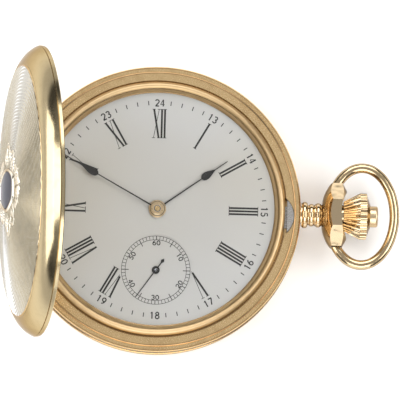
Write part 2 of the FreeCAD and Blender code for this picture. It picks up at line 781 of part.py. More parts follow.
def make_crown_group():
    """Crown with its flutes, the release button in it, and the winding stem."""
    head = turned("crown_head", [
        (D.crown_start, 0.62),
        (D.crown_start, D.crown_neck_r),
        (D.crown_cone, D.crown_neck_r),
        (D.crown_cone + 0.05, D.crown_cone_r),
        (D.crown_wide, D.crown_radius),
        (D.crown_wide_end, D.crown_radius),
        (D.crown_face - 0.1, D.button_radius + 0.5),
        (D.crown_face, D.button_radius + 0.35),
        (D.crown_face, D.button_radius + 0.05),
        (D.crown_face - 2.0, D.button_radius + 0.05),
        (D.crown_face - 2.0, 0.62),
    ], axis="X")
    place(head, (0, 0, D.stem_height))
    document.recompute()
    slope = math.atan2(D.crown_radius - D.crown_cone_r, D.crown_wide - D.crown_cone)
    flank = math.hypot(D.crown_radius - D.crown_cone_r, D.crown_wide - D.crown_cone)
    start_r, rim_r = float(D.flute_start_r), float(D.flute_radius)
    lift = 0.05
    flutes = []
    for index in range(int(D.crown_flutes)):
        cone_cut = Part.makeCone(start_r, rim_r, flank + 1, Vector(-1, 0, 0), Vector(1, 0, 0))
        cone_cut.rotate(Vector(), Vector(0, 1, 0), -math.degrees(slope))
        cone_cut.translate(Vector(float(D.crown_cone), 0, float(D.crown_cone_r) + lift))
        rim_cut = Part.makeCylinder(
            rim_r, 4, Vector(float(D.crown_wide) - 0.3, 0, float(D.crown_radius) + lift), Vector(1, 0, 0))
        flute = cone_cut.fuse(rim_cut)
        flute.rotate(Vector(), Vector(1, 0, 0), 360.0 * index / int(D.crown_flutes))
        flutes.append(flute)
    cutter = flutes[0].multiFuse(flutes[1:])
    cutter.translate(Vector(0, 0, float(D.stem_height)))
    node("crown", cut(head, feature(cutter)))
    button = turned("button_head", [
        (D.crown_face - 1.05, 0),
        (D.crown_face - 1.05, D.button_radius),
        (D.button_end - 0.3, D.button_radius, -0.35),
        (D.button_end, D.button_radius - 0.35),
        (D.button_end + 0.05, 0),
    ], axis="X")
    node("push_button", place(button, (0, 0, D.stem_height)))
    stem = turned("stem_rod", [
        (8.6, 0),
        (8.6, 0.35),
        (9.9, 0.35),
        (9.9, 0.5),
        (13.3, 0.5),
        (13.3, 0.6),
        (15.9, 0.6),
        (15.9, 0.38),
        (16.6, 0.38),
        (16.6, 0.6),
        (D.crown_face - 2.0, 0.6),
        (D.crown_face - 2.0, 0),
    ], axis="X")
    node("winding_stem", place(stem, (0, 0, D.stem_height)))


# ---------------------------------------------------------------- plates and bridges

CENTRE = (0.0, 0.0)
BARREL = (D.barrel_x, D.barrel_y)
THIRD = (-D.third_x, -D.third_y)
FOURTH = (Size(0), -D.subdial_y)
ESCAPE = (D.escape_x, -D.escape_y)
BALANCE = (D.balance_x, -D.balance_y)
LINE_ANGLE = direction(ESCAPE, BALANCE)
PALLET = (
    float(ESCAPE[0]) + float(D.pallet_offset) * math.cos(LINE_ANGLE),
    float(ESCAPE[1]) + float(D.pallet_offset) * math.sin(LINE_ANGLE),
)
COCK_FOOT = (7.3, -14.9)
PALLET_FEET = [
    (PALLET[0] + side * 3.1 * -math.sin(LINE_ANGLE), PALLET[1] + side * 3.1 * math.cos(LINE_ANGLE))
    for side in (1, -1)
]
BRIDGE_SCREWS = [(-16.0, 5.4), (-5.0, 16.3), (15.6, 7.0), (-15.4, -7.4), (-6.2, -15.8), COCK_FOOT]


def make_main_plate():
    """Main plate with its recesses, jewel seats, screw holes and stem channel."""
    low, high = D.plate_low, D.plate_high
    plate = cylinder(D.plate_radius, low, high)
    tools = [
        cylinder(D.barrel_radius + 0.75, low - 1, low + 0.25, *BARREL),
        cylinder(7.25, low - 1, D.train_ceiling),
        cylinder(1.15, low - 1, D.train_ceiling, *THIRD),
        cylinder(3.3, D.motion_floor, high + 1),
        cylinder(3.15, D.motion_floor, high + 1, D.minute_wheel_x),
        cylinder(1.95, D.motion_floor, high + 1, D.setting_wheel_x),
        cylinder(0.55, low - 1, high + 1),
        rod_x(0.75, 8.5, D.plate_radius + 1),
        rod_x(1.5, 9.2, 14.0),
        rod_x(2.15, 13.95, 14.75),
        cylinder(D.jewel_radius, low - 1, 7.9, *THIRD),
        cylinder(D.jewel_radius, low - 1, high + 1, *FOURTH),
        cylinder(D.jewel_radius, low - 1, 7.9, *ESCAPE),
        cylinder(D.jewel_radius, low - 1, 7.9, *PALLET),
        cylinder(D.jewel_radius, low - 1, 7.9, *BALANCE),
        cylinder(0.55, low - 1, 7.3, *BARREL),
    ]
    tools += [cylinder(0.42, low - 1, 7.9, *spot) for spot in BRIDGE_SCREWS]
    tools += [cylinder(0.3, low - 1, 7.4, *spot) for spot in PALLET_FEET]
    tools += [cylinder(0.45, D.motion_floor, high + 1, *spot) for spot in DIAL_FEET]
    posts = [
        cylinder(0.3, D.motion_floor - 0.1, 8.25, D.minute_wheel_x),
        cylinder(0.3, D.motion_floor - 0.1, 7.95, D.setting_wheel_x),
    ]
    node("main_plate", fuse(cut(plate, *tools), *posts))


DIAL_FEET = [(-11.5, 12.0), (11.5, -13.2)]


def half_disc(split_low, split_high, low, high):
    """The part of the movement's disc between two heights of the plan."""
    disc = cylinder(D.plate_radius, low, high)
    reach = D.plate_radius + 1
    return common(disc, block((-reach, reach), (split_low, split_high), (low, high)))


def make_bridges():
    """Barrel bridge, train bridge, pallet bridge and balance cock."""
    reach = D.plate_radius + 1
    wall = ring(reach, D.pillar_inner, D.bridge_high - 0.1, D.plate_low)
    upper = half_disc(-D.bridge_split, reach, D.bridge_low, D.bridge_high)
    upper_feet = common(wall, half_disc(2.6, reach, D.bridge_high - 0.1, D.plate_low))
    ratchet_r = D.ratchet_teeth * D.ratchet_module / 2 + 0.35
    crown_r = D.crown_teeth * D.ratchet_module / 2 + 0.35
    upper_tools = [
        cylinder(ratchet_r, D.bridge_low - 1, D.bridge_floor, *BARREL),
        cylinder(crown_r, D.bridge_low - 1, D.bridge_floor, D.crown_wheel_x),
        cylinder(1.0, D.bridge_low - 1, D.bridge_high + 1, *BARREL),
        cylinder(0.5, D.bridge_low - 1, D.bridge_high + 1, D.crown_wheel_x),
        cylinder(0.55, D.bridge_low - 1, D.bridge_high + 1),
        rod_x(0.75, 8.5, D.plate_radius + 1),
        rod_x(1.5, 9.2, 14.0),
        rod_x(2.15, 13.95, 14.75),
        cylinder(0.5, D.bridge_low - 1, D.bridge_high + 1, *CLICK),
        cylinder(1.6, D.bridge_low - 1, D.bridge_floor, *CLICK),
    ]
    upper_tools += [cylinder(0.42, 3, 7, *spot) for spot in BRIDGE_SCREWS[:3]]
    upper_tools += [cylinder(0.85, 3, D.bridge_low + 0.4, *spot) for spot in BRIDGE_SCREWS[:3]]
    node("barrel_bridge", cut(fuse(upper, upper_feet), *upper_tools))

    lower = half_disc(-reach, -D.bridge_split - 0.15, D.bridge_low, D.bridge_high)
    lower_feet = common(wall, half_disc(-reach, -3.0, D.bridge_high - 0.1, D.plate_low))
    lower_tools = [
        cylinder(D.balance_radius + 0.45, 3, 7, *BALANCE),
        cylinder(crown_r, D.bridge_low - 1, D.bridge_floor, D.crown_wheel_x),
        block((6.6, 20), (-20, -10.5), (3, 7)),
        block((4.9, 8.0), (-20, -12.6), (3, 7)),
        block((11.0, 20), (-11, 0), (3, 7)),
        cylinder(D.jewel_radius, 3, 7, *THIRD),
        cylinder(D.jewel_radius, 3, 7, *FOURTH),
        cylinder(D.jewel_radius, 3, 7, *ESCAPE),
    ]
    lower_tools += [cylinder(0.42, 3, 7, *spot) for spot in BRIDGE_SCREWS[3:5]]
    lower_tools += [cylinder(0.85, 3, D.bridge_low + 0.4, *spot) for spot in BRIDGE_SCREWS[3:5]]
    node("train_bridge", cut(fuse(lower, lower_feet), *lower_tools))

    pallet_bar = bar(*PALLET_FEET, 1.3, 5.7, 5.95)
    feet = [cylinder(0.6, 5.7, D.plate_low, *spot) for spot in PALLET_FEET]
    pins = [cylinder(0.28, D.plate_low - 0.1, 7.3, *spot) for spot in PALLET_FEET]
    pallet_hole = cylinder(D.jewel_bore, 5, 7, *PALLET)
    node("pallet_bridge", cut(fuse(pallet_bar, *feet, *pins), pallet_hole))

    cock = fuse(
        cylinder(2.0, D.bridge_low, D.bridge_low + 0.65, *BALANCE),
        bar(BALANCE, COCK_FOOT, 2.8, D.bridge_low, D.bridge_low + 0.65),
        cylinder(2.15, D.bridge_low, D.plate_low, *COCK_FOOT),
    )
    cock_tools = [
        cylinder(D.jewel_radius, 3, 7, *BALANCE),
        cylinder(0.42, 3, 7, *COCK_FOOT),
        cylinder(0.85, 3, D.bridge_low + 0.4, *COCK_FOOT),
    ]
    inside = cylinder(D.plate_radius, D.bridge_low - 1, D.plate_low + 1)
    node("balance_cock", cut(common(cock, inside), *cock_tools))


def make_screws():
    """Screws of the bridges and of the movement ring, and the ring itself."""
    screws = []
    for spot in BRIDGE_SCREWS:
        head = cylinder(0.8, D.bridge_low + 0.02, D.bridge_low + 0.4, *spot)
        shank = cylinder(0.38, D.bridge_low + 0.3, 7.8, *spot)
        slot = block((spot[0] - 1, spot[0] + 1), (spot[1] - 0.1, spot[1] + 0.1), (3.5, D.bridge_low + 0.15))
        screws.append(cut(fuse(head, shank), slot))
    node("bridge_screws", feature_group(screws))
    movement_ring = ring(D.ring_outer, D.ring_inner, D.rim_back + 0.6, D.plate_high)
    channel = rod_x(0.9, 15, 25)
    holes = [cylinder(0.42, 3, 7.5, *spot) for spot in RING_SCREWS]
    node("movement_ring", cut(movement_ring, channel, *holes))
    clamps = []
    for spot in RING_SCREWS:
        head = cylinder(0.9, D.rim_back + 0.2, D.rim_back + 0.59, *spot)
        shank = cylinder(0.38, D.rim_back + 0.5, 7.4, *spot)
        slot = block((spot[0] - 1, spot[0] + 1), (spot[1] - 0.1, spot[1] + 0.1), (4, D.rim_back + 0.35))
        clamps.append(cut(fuse(head, shank), slot))
    node("ring_screws", feature_group(clamps))


RING_SCREWS = [(-13.87, 13.87), (13.87, -13.87)]


def make_jewels():
    """Ruby bearings in the plate, the bridges and the cock."""
    seats = [
        (THIRD, 7.2, 7.6), (FOURTH, 7.2, 7.6), (ESCAPE, 7.2, 7.6), (PALLET, 7.2, 7.6), (BALANCE, 7.2, 7.6),
        (THIRD, 4.3, 4.8), (FOURTH, 4.3, 4.8), (ESCAPE, 4.3, 4.8), (BALANCE, 4.0, 4.5),
    ]
    jewels = [ring(D.jewel_radius - 0.01, D.jewel_bore, low, high, *spot) for spot, low, high in seats]
    node("jewels", feature_group(jewels))


# ---------------------------------------------------------------- barrel and winding work

CLICK = (-2.6, 13.4)


def make_barrel():
    """Going barrel: drum with teeth, lid, arbor and mainspring."""
    module = float(D.ratchet_module)
    drum = gear_shape(D.barrel_teeth, module, 6.0, 6.3, *map(float, BARREL), phase=BARREL_PHASE)
    drum = drum.fuse(solid_cylinder(D.barrel_radius, D.barrel_low, D.barrel_high, *BARREL))
    drum = drum.cut(solid_cylinder(D.barrel_radius - 0.35, D.barrel_low - 1, D.barrel_high - 0.2, *BARREL))
    drum = drum.cut(solid_cylinder(0.62, 4, 8, *BARREL))
    node("barrel_drum", feature(drum))
    lid = ring(D.barrel_radius - 0.37, 0.62, D.barrel_low, D.barrel_low + 0.18, *BARREL)
    node("barrel_cover", lid)
    arbor = arbor_shape(
        *map(float, BARREL), (0.5, 4.52, 7.2), (1.1, 5.6, 6.25), (0.95, 4.6, 5.25))
    node("barrel_arbor", feature(arbor))
    node("mainspring", feature(spiral_strip(BARREL, 3.9, 7.0, 13, 0.13, 5.6, 6.25)))


def spiral_strip(centre, inner, outer, turns, wall, low, high):
    """A flat spiral spring standing along Z."""
    steps = int(turns * 10)

    def side(offset):
        points = []
        for step in range(steps + 1):
            share = step / steps
            radius = inner + (outer - inner) * share + offset
            x, y = polar(radius, 2 * math.pi * turns * share)
            points.append(Vector(float(centre[0]) + x, float(centre[1]) + y, float(low)))
        curve = Part.BSplineCurve()
        curve.interpolate(points)
        return curve.toShape(), points

    first, first_points = side(-wall / 2)
    second, second_points = side(wall / 2)
    caps = [
        Part.LineSegment(first_points[end], second_points[end]).toShape() for end in (0, -1)
    ]
    wire = Part.Wire(Part.__sortEdges__([first, caps[1], second, caps[0]]))
    return Part.Face(wire).extrude(Vector(0, 0, float(high) - float(low)))


CENTRE_PHASE = 0.0
BARREL_PHASE = mesh_phase(
    int(D.centre_leaves), CENTRE_PHASE, int(D.barrel_teeth), direction(CENTRE, BARREL))


def make_winding_work():
    """Ratchet wheel, crown wheel, click, winding pinion, clutch, lever and yoke."""
    module = float(D.ratchet_module)
    centre = (float(D.crown_wheel_x), 0.0)
    crown_phase = 0.0
    ratchet_phase = mesh_phase(
        int(D.crown_teeth), crown_phase, int(D.ratchet_teeth), direction(centre, BARREL))
    ratchet = gear_shape(D.ratchet_teeth, module, 4.02, 4.5, *map(float, BARREL), phase=ratchet_phase, bore=0.52)
    node("ratchet_wheel", feature(ratchet))
    screw = arbor_shape(*map(float, BARREL), (1.3, 3.7, 4.0), (0.5, 3.9, 4.5))
    slot = Part.makeBox(3, 0.22, 0.2, Vector(float(BARREL[0]) - 1.5, float(BARREL[1]) - 0.11, 3.65))
    node("ratchet_screw", feature(screw.cut(slot)))
    crown_wheel = gear_shape(D.crown_teeth, module, 4.02, 4.45, *centre, phase=crown_phase, bore=1.32)
    node("crown_wheel", feature(crown_wheel))
    core = arbor_shape(*centre, (1.6, 3.75, 3.98), (1.28, 3.9, 4.55), (0.46, 4.5, 4.9))
    node("crown_wheel_core", feature(core))
    click = polygon_prism([(-2.6, 12.6), (-1.75, 12.9), (-1.9, 14.0), (-3.3, 14.3), (-3.6, 13.2)], 4.02, 4.5)
    click = click.cut(solid_cylinder(0.36, 3, 6, *CLICK))
    keep_out = solid_cylinder(D.ratchet_teeth * D.ratchet_module / 2 + 0.22, 3, 6, *BARREL)
    node("click", feature(click.cut(keep_out)))
    click_screw = arbor_shape(*CLICK, (0.6, 3.75, 3.98), (0.32, 3.9, 5.15))
    node("click_screw", feature(click_screw))

    pinion_module = 2 * 1.8 / int(D.winding_teeth)
    pinion = gear_shape(D.winding_teeth, pinion_module, 0, 0.55, phase=math.pi / 18, width=0.3)
    pinion = pinion.fuse(solid_cylinder(1.2, -0.5, 0.1)).cut(solid_cylinder(0.64, -2, 3))
    pinion.rotate(Vector(), Vector(0, 1, 0), 90)
    pinion.translate(Vector(14.05, 0, float(D.stem_height)))
    node("winding_pinion", feature(pinion))
    clutch = solid_cylinder(1.25, 0, 1.0).multiFuse([
        solid_cylinder(0.85, 0.9, 1.6), solid_cylinder(1.25, 1.5, 2.6)])
    for index in range(8):
        notch = Part.makeBox(0.5, 0.34, 0.35, Vector(0.75, -0.17, -0.05))
        notch.rotate(Vector(), Vector(0, 0, 1), 45.0 * index)
        clutch = clutch.cut(notch)
    clutch = clutch.cut(solid_cylinder(0.53, -1, 4))
    clutch.rotate(Vector(), Vector(0, 1, 0), 90)
    clutch.translate(Vector(10.6, 0, float(D.stem_height)))
    node("clutch_wheel", feature(clutch))
    lever = bar(LEVER, (LEVER[0] - 0.35, 0.75), 1.0, 6.85, 7.2)
    lever_tip = cylinder(0.22, 6.3, 6.9, LEVER[0] - 0.35, 0.5)
    lever_hole = cylinder(0.33, 6, 8, *LEVER)
    lever_seat = bar(LEVER, (LEVER[0] - 0.35, 0.75), 3.2, D.plate_low - 0.1, 7.25)
    node("setting_lever", cut(fuse(lever, lever_tip), lever_hole))
    yoke = bar(YOKE, (11.85, 1.4), 0.7, 6.85, 7.2)
    yoke_tip = cylinder(0.22, 6.3, 6.9, 11.85, 1.12)
    yoke_hole = cylinder(0.33, 6, 8, *YOKE)
    yoke_seat = bar(YOKE, (11.4, 1.35), 2.6, D.plate_low - 0.1, 7.25)
    node("yoke", cut(fuse(yoke, yoke_tip), yoke_hole))
    plate = NODES["main_plate"]
    posts = [cylinder(0.3, 6.7, 7.3, *spot) for spot in (LEVER, YOKE)]
    node("main_plate", fuse(cut(plate, lever_seat, yoke_seat), *posts))


LEVER = (16.6, 3.2)
YOKE = (11.4, 3.4)


# ---------------------------------------------------------------- train and motion work

def make_train():
    """Centre, third, fourth and escape wheels, each with its pinion and pivots."""
    third_way = direction(CENTRE, THIRD)
    fourth_way = direction(THIRD, FOURTH)
    escape_way = direction(FOURTH, ESCAPE)
    third_pinion = mesh_phase(int(D.centre_teeth), 0.0, int(D.third_leaves), third_way)
    fourth_pinion = mesh_phase(int(D.third_teeth), 0.0, int(D.third_leaves), fourth_way)
    escape_pinion = mesh_phase(int(D.fourth_teeth), 0.0, int(D.escape_leaves), escape_way)

    centre = gear_shape(D.centre_teeth, float(D.centre_module), 6.65, 6.85, spokes=5)
    centre = centre.multiFuse([
        gear_shape(D.centre_leaves, float(D.ratchet_module), 5.45, 6.55, phase=CENTRE_PHASE),
        arbor_shape(0, 0, (0.45, 4.1, 9.95), (0.6, 6.5, 6.95)),
    ])
    node("centre_wheel", feature(centre))

    third = gear_shape(D.third_teeth, float(D.third_module), 6.1, 6.3, *map(float, THIRD), spokes=5)
    third = third.multiFuse([
        gear_shape(D.third_leaves, float(D.centre_module), 6.45, 6.9, *map(float, THIRD), phase=third_pinion),
        arbor_shape(*map(float, THIRD), (0.35, 5.0, 7.0), (D.pivot_radius, 4.2, 7.7)),
    ])
    node("third_wheel", feature(third))

    fourth = gear_shape(D.fourth_teeth, float(D.fourth_module), 5.6, 5.8, *map(float, FOURTH), spokes=5)
    fourth = fourth.multiFuse([
        gear_shape(D.third_leaves, float(D.third_module), 5.95, 6.45, *map(float, FOURTH), phase=fourth_pinion),
        arbor_shape(*map(float, FOURTH), (0.35, 5.0, 7.0), (D.pivot_radius, 4.2, 8.95)),
    ])
    node("fourth_wheel", feature(fourth))

    spot = tuple(map(float, ESCAPE))
    escape = escape_shape(6.15, 6.4, *spot)
    escape = escape.multiFuse([
        gear_shape(D.escape_leaves, float(D.fourth_module), 5.5, 6.0, *spot, phase=escape_pinion),
        arbor_shape(*spot, (0.3, 5.0, 7.0), (D.pivot_radius, 4.2, 7.7)),
    ])
    node("escape_wheel", feature(escape))


def escape_shape(low, high, x, y):
    """Escape wheel with pointed, raked club teeth and four arms."""
    teeth = int(D.escape_teeth)
    points = []
    for tooth in range(teeth):
        start = LINE_ANGLE + 2 * math.pi * (tooth + 0.5) / teeth
        for radius, lag in ((1.75, -0.03), (2.38, 0.10), (2.5, 0.16), (2.42, 0.20), (1.75, 0.16)):
            points.append(polar(radius, start + lag))
    shape = polygon_prism(points, low, high)
    height = high - low
    windows = Part.makeCylinder(1.5, height).cut(Part.makeCylinder(0.5, height))
    for index in range(4):
        arm = Part.makeBox(2, 0.24, height, Vector(0, -0.12, 0))
        arm.rotate(Vector(), Vector(0, 0, 1), 90 * index)
        windows = windows.cut(arm)
    windows.translate(Vector(0, 0, low))
    shape = shape.cut(windows)
    shape.translate(Vector(x, y, 0))
    return shape


def make_motion_work():
    """Cannon pinion, minute wheel, hour wheel and setting wheel under the dial."""
    cannon = gear_shape(D.cannon_teeth, float(D.cannon_module), 7.3, 7.8)
    cannon = cannon.fuse(solid_cylinder(0.68, 7.3, 9.6)).cut(solid_cylinder(0.48, 7, 12))
    node("cannon_pinion", feature(cannon))
    spot = (float(D.minute_wheel_x), 0.0)
    wheel_phase = mesh_phase(int(D.cannon_teeth), 0.0, int(D.minute_teeth), 0.0)
    minute = gear_shape(D.minute_teeth, float(D.cannon_module), 7.35, 7.65, *spot, phase=wheel_phase)
    minute = minute.fuse(gear_shape(D.cannon_teeth, float(D.hour_module), 7.6, 8.25, *spot))
    node("minute_wheel", feature(minute.cut(solid_cylinder(0.34, 7, 9, *spot))))
    hour_phase = mesh_phase(int(D.cannon_teeth), 0.0, int(D.hour_teeth), math.pi)
    hour = gear_shape(D.hour_teeth, float(D.hour_module), 7.9, 8.15, phase=hour_phase)
    hour = hour.fuse(solid_cylinder(1.0, 7.9, D.hour_hand_z + 0.05)).cut(solid_cylinder(0.74, 7, 12))
    node("hour_wheel", feature(hour))
    setting_phase = mesh_phase(int(D.minute_teeth), wheel_phase, int(D.setting_teeth), 0.0)
    setting = gear_shape(
        D.setting_teeth, float(D.cannon_module), 7.35, 7.7, float(D.setting_wheel_x), 0, phase=setting_phase)
    node("setting_wheel", feature(setting.cut(solid_cylinder(0.34, 7, 9, D.setting_wheel_x))))


# ---------------------------------------------------------------- escapement

def make_escapement():
    """Pallet fork with its stones, balance with staff and roller, hairspring, regulator."""
    fork = bar((0, 0), (2.1, 0), 0.36, 6.15, 6.4)
    arms = [bar((0, 0), (-0.75, side * 1.9), 0.46, 6.15, 6.4) for side in (1, -1)]
    horns = [bar((2.05, side * 0.3), (2.55, side * 0.42), 0.22, 6.15, 6.4) for side in (1, -1)]
    bridge = bar((2.05, -0.3), (2.05, 0.3), 0.24, 6.15, 6.4)
    staff = [cylinder(0.25, 6.0, 7.1), cylinder(D.pivot_radius, 5.72, 7.7)]
    lever = fuse(fork, *arms, *horns, bridge, *staff)
    notches = [block((-1.27, -0.68), (side * 1.9 - 0.13, side * 1.9 + 0.13), (6, 7)) for side in (1, -1)]
    lever = cut(lever, *notches)
    stones = feature_group([
        block((-1.25, -0.7), (side * 1.9 - 0.12, side * 1.9 + 0.12), (6.12, 6.43)) for side in (1, -1)
    ])
    turn = Placement(Vector(PALLET[0], PALLET[1], 0), Rotation(Vector(0, 0, 1), math.degrees(LINE_ANGLE)))
    for label, thing in (("pallet_fork", lever), ("pallet_stones", stones)):
        thing.Placement = turn
        node(label, thing)

    spot = BALANCE
    rim = ring(D.balance_radius, D.balance_radius - D.balance_rim, 5.1, 5.6, *spot)
    arm_length = float(D.balance_radius) - 0.4
    arms = [
        bar((spot[0] - arm_length * math.cos(angle), spot[1] - arm_length * math.sin(angle)),
            (spot[0] + arm_length * math.cos(angle), spot[1] + arm_length * math.sin(angle)),
            0.6, 5.25, 5.5)
        for angle in (0.3, 0.3 + math.pi / 2)
    ]
    hub_hole = cylinder(0.41, 4, 7, *spot)
    node("balance_wheel", cut(fuse(rim, *arms, cylinder(0.9, 5.25, 5.5, *spot)), hub_hole))
    jewel_x = float(spot[0]) - 0.62 * math.cos(LINE_ANGLE)
    jewel_y = float(spot[1]) - 0.62 * math.sin(LINE_ANGLE)
    staff = arbor_shape(
        *map(float, spot), (0.4, 4.7, 7.0), (D.pivot_radius, 4.05, 7.55), (0.85, 5.85, 6.05), (0.12, 6.0, 6.1))
    staff = staff.fuse(solid_cylinder(0.1, 6.0, 6.45, jewel_x, jewel_y))
    node("balance_staff", feature(staff))
    node("hairspring", feature(spiral_strip(spot, 0.6, 3.0, 9, 0.05, 4.75, 4.95)))
    node("regulator", cut(
        fuse(cylinder(1.15, 3.7, 3.9, *spot), bar(spot, (spot[0] - 2.7, spot[1] + 2.0), 0.4, 3.7, 3.9)),
        cylinder(0.7, 3, 5, *spot)))


# ---------------------------------------------------------------- dial and hands

def make_dial():
    """Dial with its sunk seconds dial, two feet and the holes for the arbors."""
    disc = fuse(
        cylinder(D.dial_radius, D.dial_low, D.dial_top),
        *[cylinder(0.4, 7.4, D.dial_low + 0.1, *spot) for spot in DIAL_FEET])
    node("dial", cut(
        disc,
        cylinder(D.subdial_r, D.dial_top - D.subdial_depth, D.dial_top + 1, 0, -D.subdial_y),
        cylinder(1.1, 7, 10),
        cylinder(0.3, 7, 10, 0, -D.subdial_y)))


def pear(start, end, half_width, half_base, half_tip):
    """Face of a pear-shaped swelling along Y, from its round foot to its neck."""
    length = end - start
    side = [
        Vector(half_base, start, 0),
        Vector(half_width * 0.66, start + length * 0.07, 0),
        Vector(half_width, start + length * 0.3, 0),
        Vector(half_width * 0.72, start + length * 0.62, 0),
        Vector(half_tip, end, 0),
    ]
    right = Part.BSplineCurve()
    right.interpolate(side)
    left = Part.BSplineCurve()
    left.interpolate([Vector(-point.x, point.y, 0) for point in reversed(side)])
    neck = Part.LineSegment(side[-1], Vector(-side[-1].x, side[-1].y, 0))
    foot = Part.LineSegment(Vector(-side[0].x, side[0].y, 0), side[0])
    return Part.Face(Part.Wire([part.toShape() for part in (right, neck, left, foot)]))


def hand_blank(length, base, swell_start, swell_end, half_width):
    """A pear-shaped hand along +Y: shaft, swelling and needle, one wall thick, at height 0."""
    half_shaft, half_needle = 0.12, 0.07
    shaft = [(-half_shaft, base), (half_shaft, base), (half_needle, length), (-half_needle, length)]
    wall = float(D.hand_wall)
    blade = polygon_prism(shaft, 0, wall)
    swelling = pear(swell_start, swell_end, half_width, half_shaft, 0.09).extrude(Vector(0, 0, wall))
    return blade.fuse(swelling)


def set_hand(label, shape, angle, height, y=0.0):
    """Turn a hand clockwise from 12 and lift it to its height."""
    shape.rotate(Vector(), Vector(0, 0, 1), -float(angle))
    shape.translate(Vector(0, float(y), float(height)))
    return node(label, feature(shape))


def make_hands():
    """Three hands and the bushes of the hour and minute hands."""
    wall = float(D.hand_wall)
    hour = hand_blank(float(D.hour_length), 1.2, 9.35, 12.2, 0.67)
    eye = solid_cylinder(D.hour_bush_r - 0.04, 0, wall)
    hour = hour.fuse(eye).cut(solid_cylinder(1.04, -1, 1))
    set_hand("hour_hand", hour, D.hour_angle, D.hour_hand_z)
    minute = hand_blank(float(D.minute_length), 0.9, 11.95, 15.3, 0.66)
    eye = solid_cylinder(D.minute_bush_r + 0.16, 0, wall)
    minute = minute.fuse(eye).cut(solid_cylinder(0.72, -1, 1))
    set_hand("minute_hand", minute, D.minute_angle, D.minute_hand_z)
    for label, outer, inner, hand_z, rise in (
        ("hour_hand_bush", D.hour_bush_r, 1.04, D.hour_hand_z, 0.15),
        ("minute_hand_bush", D.minute_bush_r, 0.48, D.minute_hand_z, 0.22),
    ):
        foot = hand_z + D.hand_wall + 0.01
        top = hand_z + D.hand_wall + rise
        node(label, turned(label + "_ring", [
            (inner, foot),
            (outer, foot),
            (outer, top - 0.07),
            (outer - 0.1, top),
            (inner + 0.05, top),
            (inner, top - 0.05),
        ]))
    tail, point = float(D.seconds_tail), float(D.seconds_length)
    blade = wall * 0.6
    needle = polygon_prism([(-0.1, -tail + 0.9), (0.1, -tail + 0.9), (0.07, point), (-0.07, point)], 0, blade)
    lozenge = polygon_prism(
        [(0, -tail), (0.32, -tail + 0.5), (0.09, -tail + 0.95), (-0.09, -tail + 0.95), (-0.32, -tail + 0.5)],
        0, blade)
    seconds = needle.multiFuse([lozenge, solid_cylinder(0.69, 0, wall)]).cut(solid_cylinder(0.14, -1, 1))
    set_hand("seconds_hand", seconds, D.seconds_angle, D.seconds_hand_z, -D.subdial_y)


# ---------------------------------------------------------------- build and write

def build():
    make_band()
    make_case_springs()
    make_covers()
    make_bezel_and_crystal()
    make_pendant()
    make_bow()
    make_crown_group()
    make_main_plate()
    make_bridges()
    make_screws()
    make_jewels()
    make_barrel()
    make_winding_work()
    make_train()
    make_motion_work()
    make_escapement()
    make_dial()
    make_hands()
    document.recompute()


def check():
    """Stop if any object failed or any sub-part's shape is empty or invalid."""
    for thing in document.Objects:
        if {"Invalid", "Error"} & set(thing.State):
            raise RuntimeError(f"{thing.Label} failed: {thing.State}")
    for label, thing in NODES.items():
        shape = thing.Shape
        if shape.isNull() or not shape.isValid() or not shape.Solids:
            raise RuntimeError(f"{label} has no valid shape")


def write():
    os.makedirs("parts", exist_ok=True)
    for label, thing in NODES.items():
        thing.Shape.exportStep(f"parts/{label}.step")


build()
check()
write()
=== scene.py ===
"""Looks of the hunter pocket watch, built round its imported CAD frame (metres, +Z out of the dial)."""
import json
import math

import bpy
from mathutils import Matrix, Vector


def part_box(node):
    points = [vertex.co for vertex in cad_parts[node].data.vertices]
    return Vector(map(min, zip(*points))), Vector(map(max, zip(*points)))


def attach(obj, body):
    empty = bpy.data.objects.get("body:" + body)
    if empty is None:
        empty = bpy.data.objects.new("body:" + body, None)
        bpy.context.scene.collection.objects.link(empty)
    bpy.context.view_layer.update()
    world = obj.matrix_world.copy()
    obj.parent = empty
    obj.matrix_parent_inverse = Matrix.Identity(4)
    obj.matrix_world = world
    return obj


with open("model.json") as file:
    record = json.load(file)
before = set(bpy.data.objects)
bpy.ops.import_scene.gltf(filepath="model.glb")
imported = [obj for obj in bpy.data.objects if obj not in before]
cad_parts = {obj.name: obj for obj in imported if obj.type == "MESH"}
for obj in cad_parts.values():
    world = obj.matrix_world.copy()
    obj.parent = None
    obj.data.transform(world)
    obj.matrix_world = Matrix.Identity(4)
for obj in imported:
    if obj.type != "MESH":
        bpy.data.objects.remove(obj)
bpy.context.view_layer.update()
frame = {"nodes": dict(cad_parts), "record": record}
NODES = frame["nodes"]
MM = 0.001


# ---------------------------------------------------------------- materials

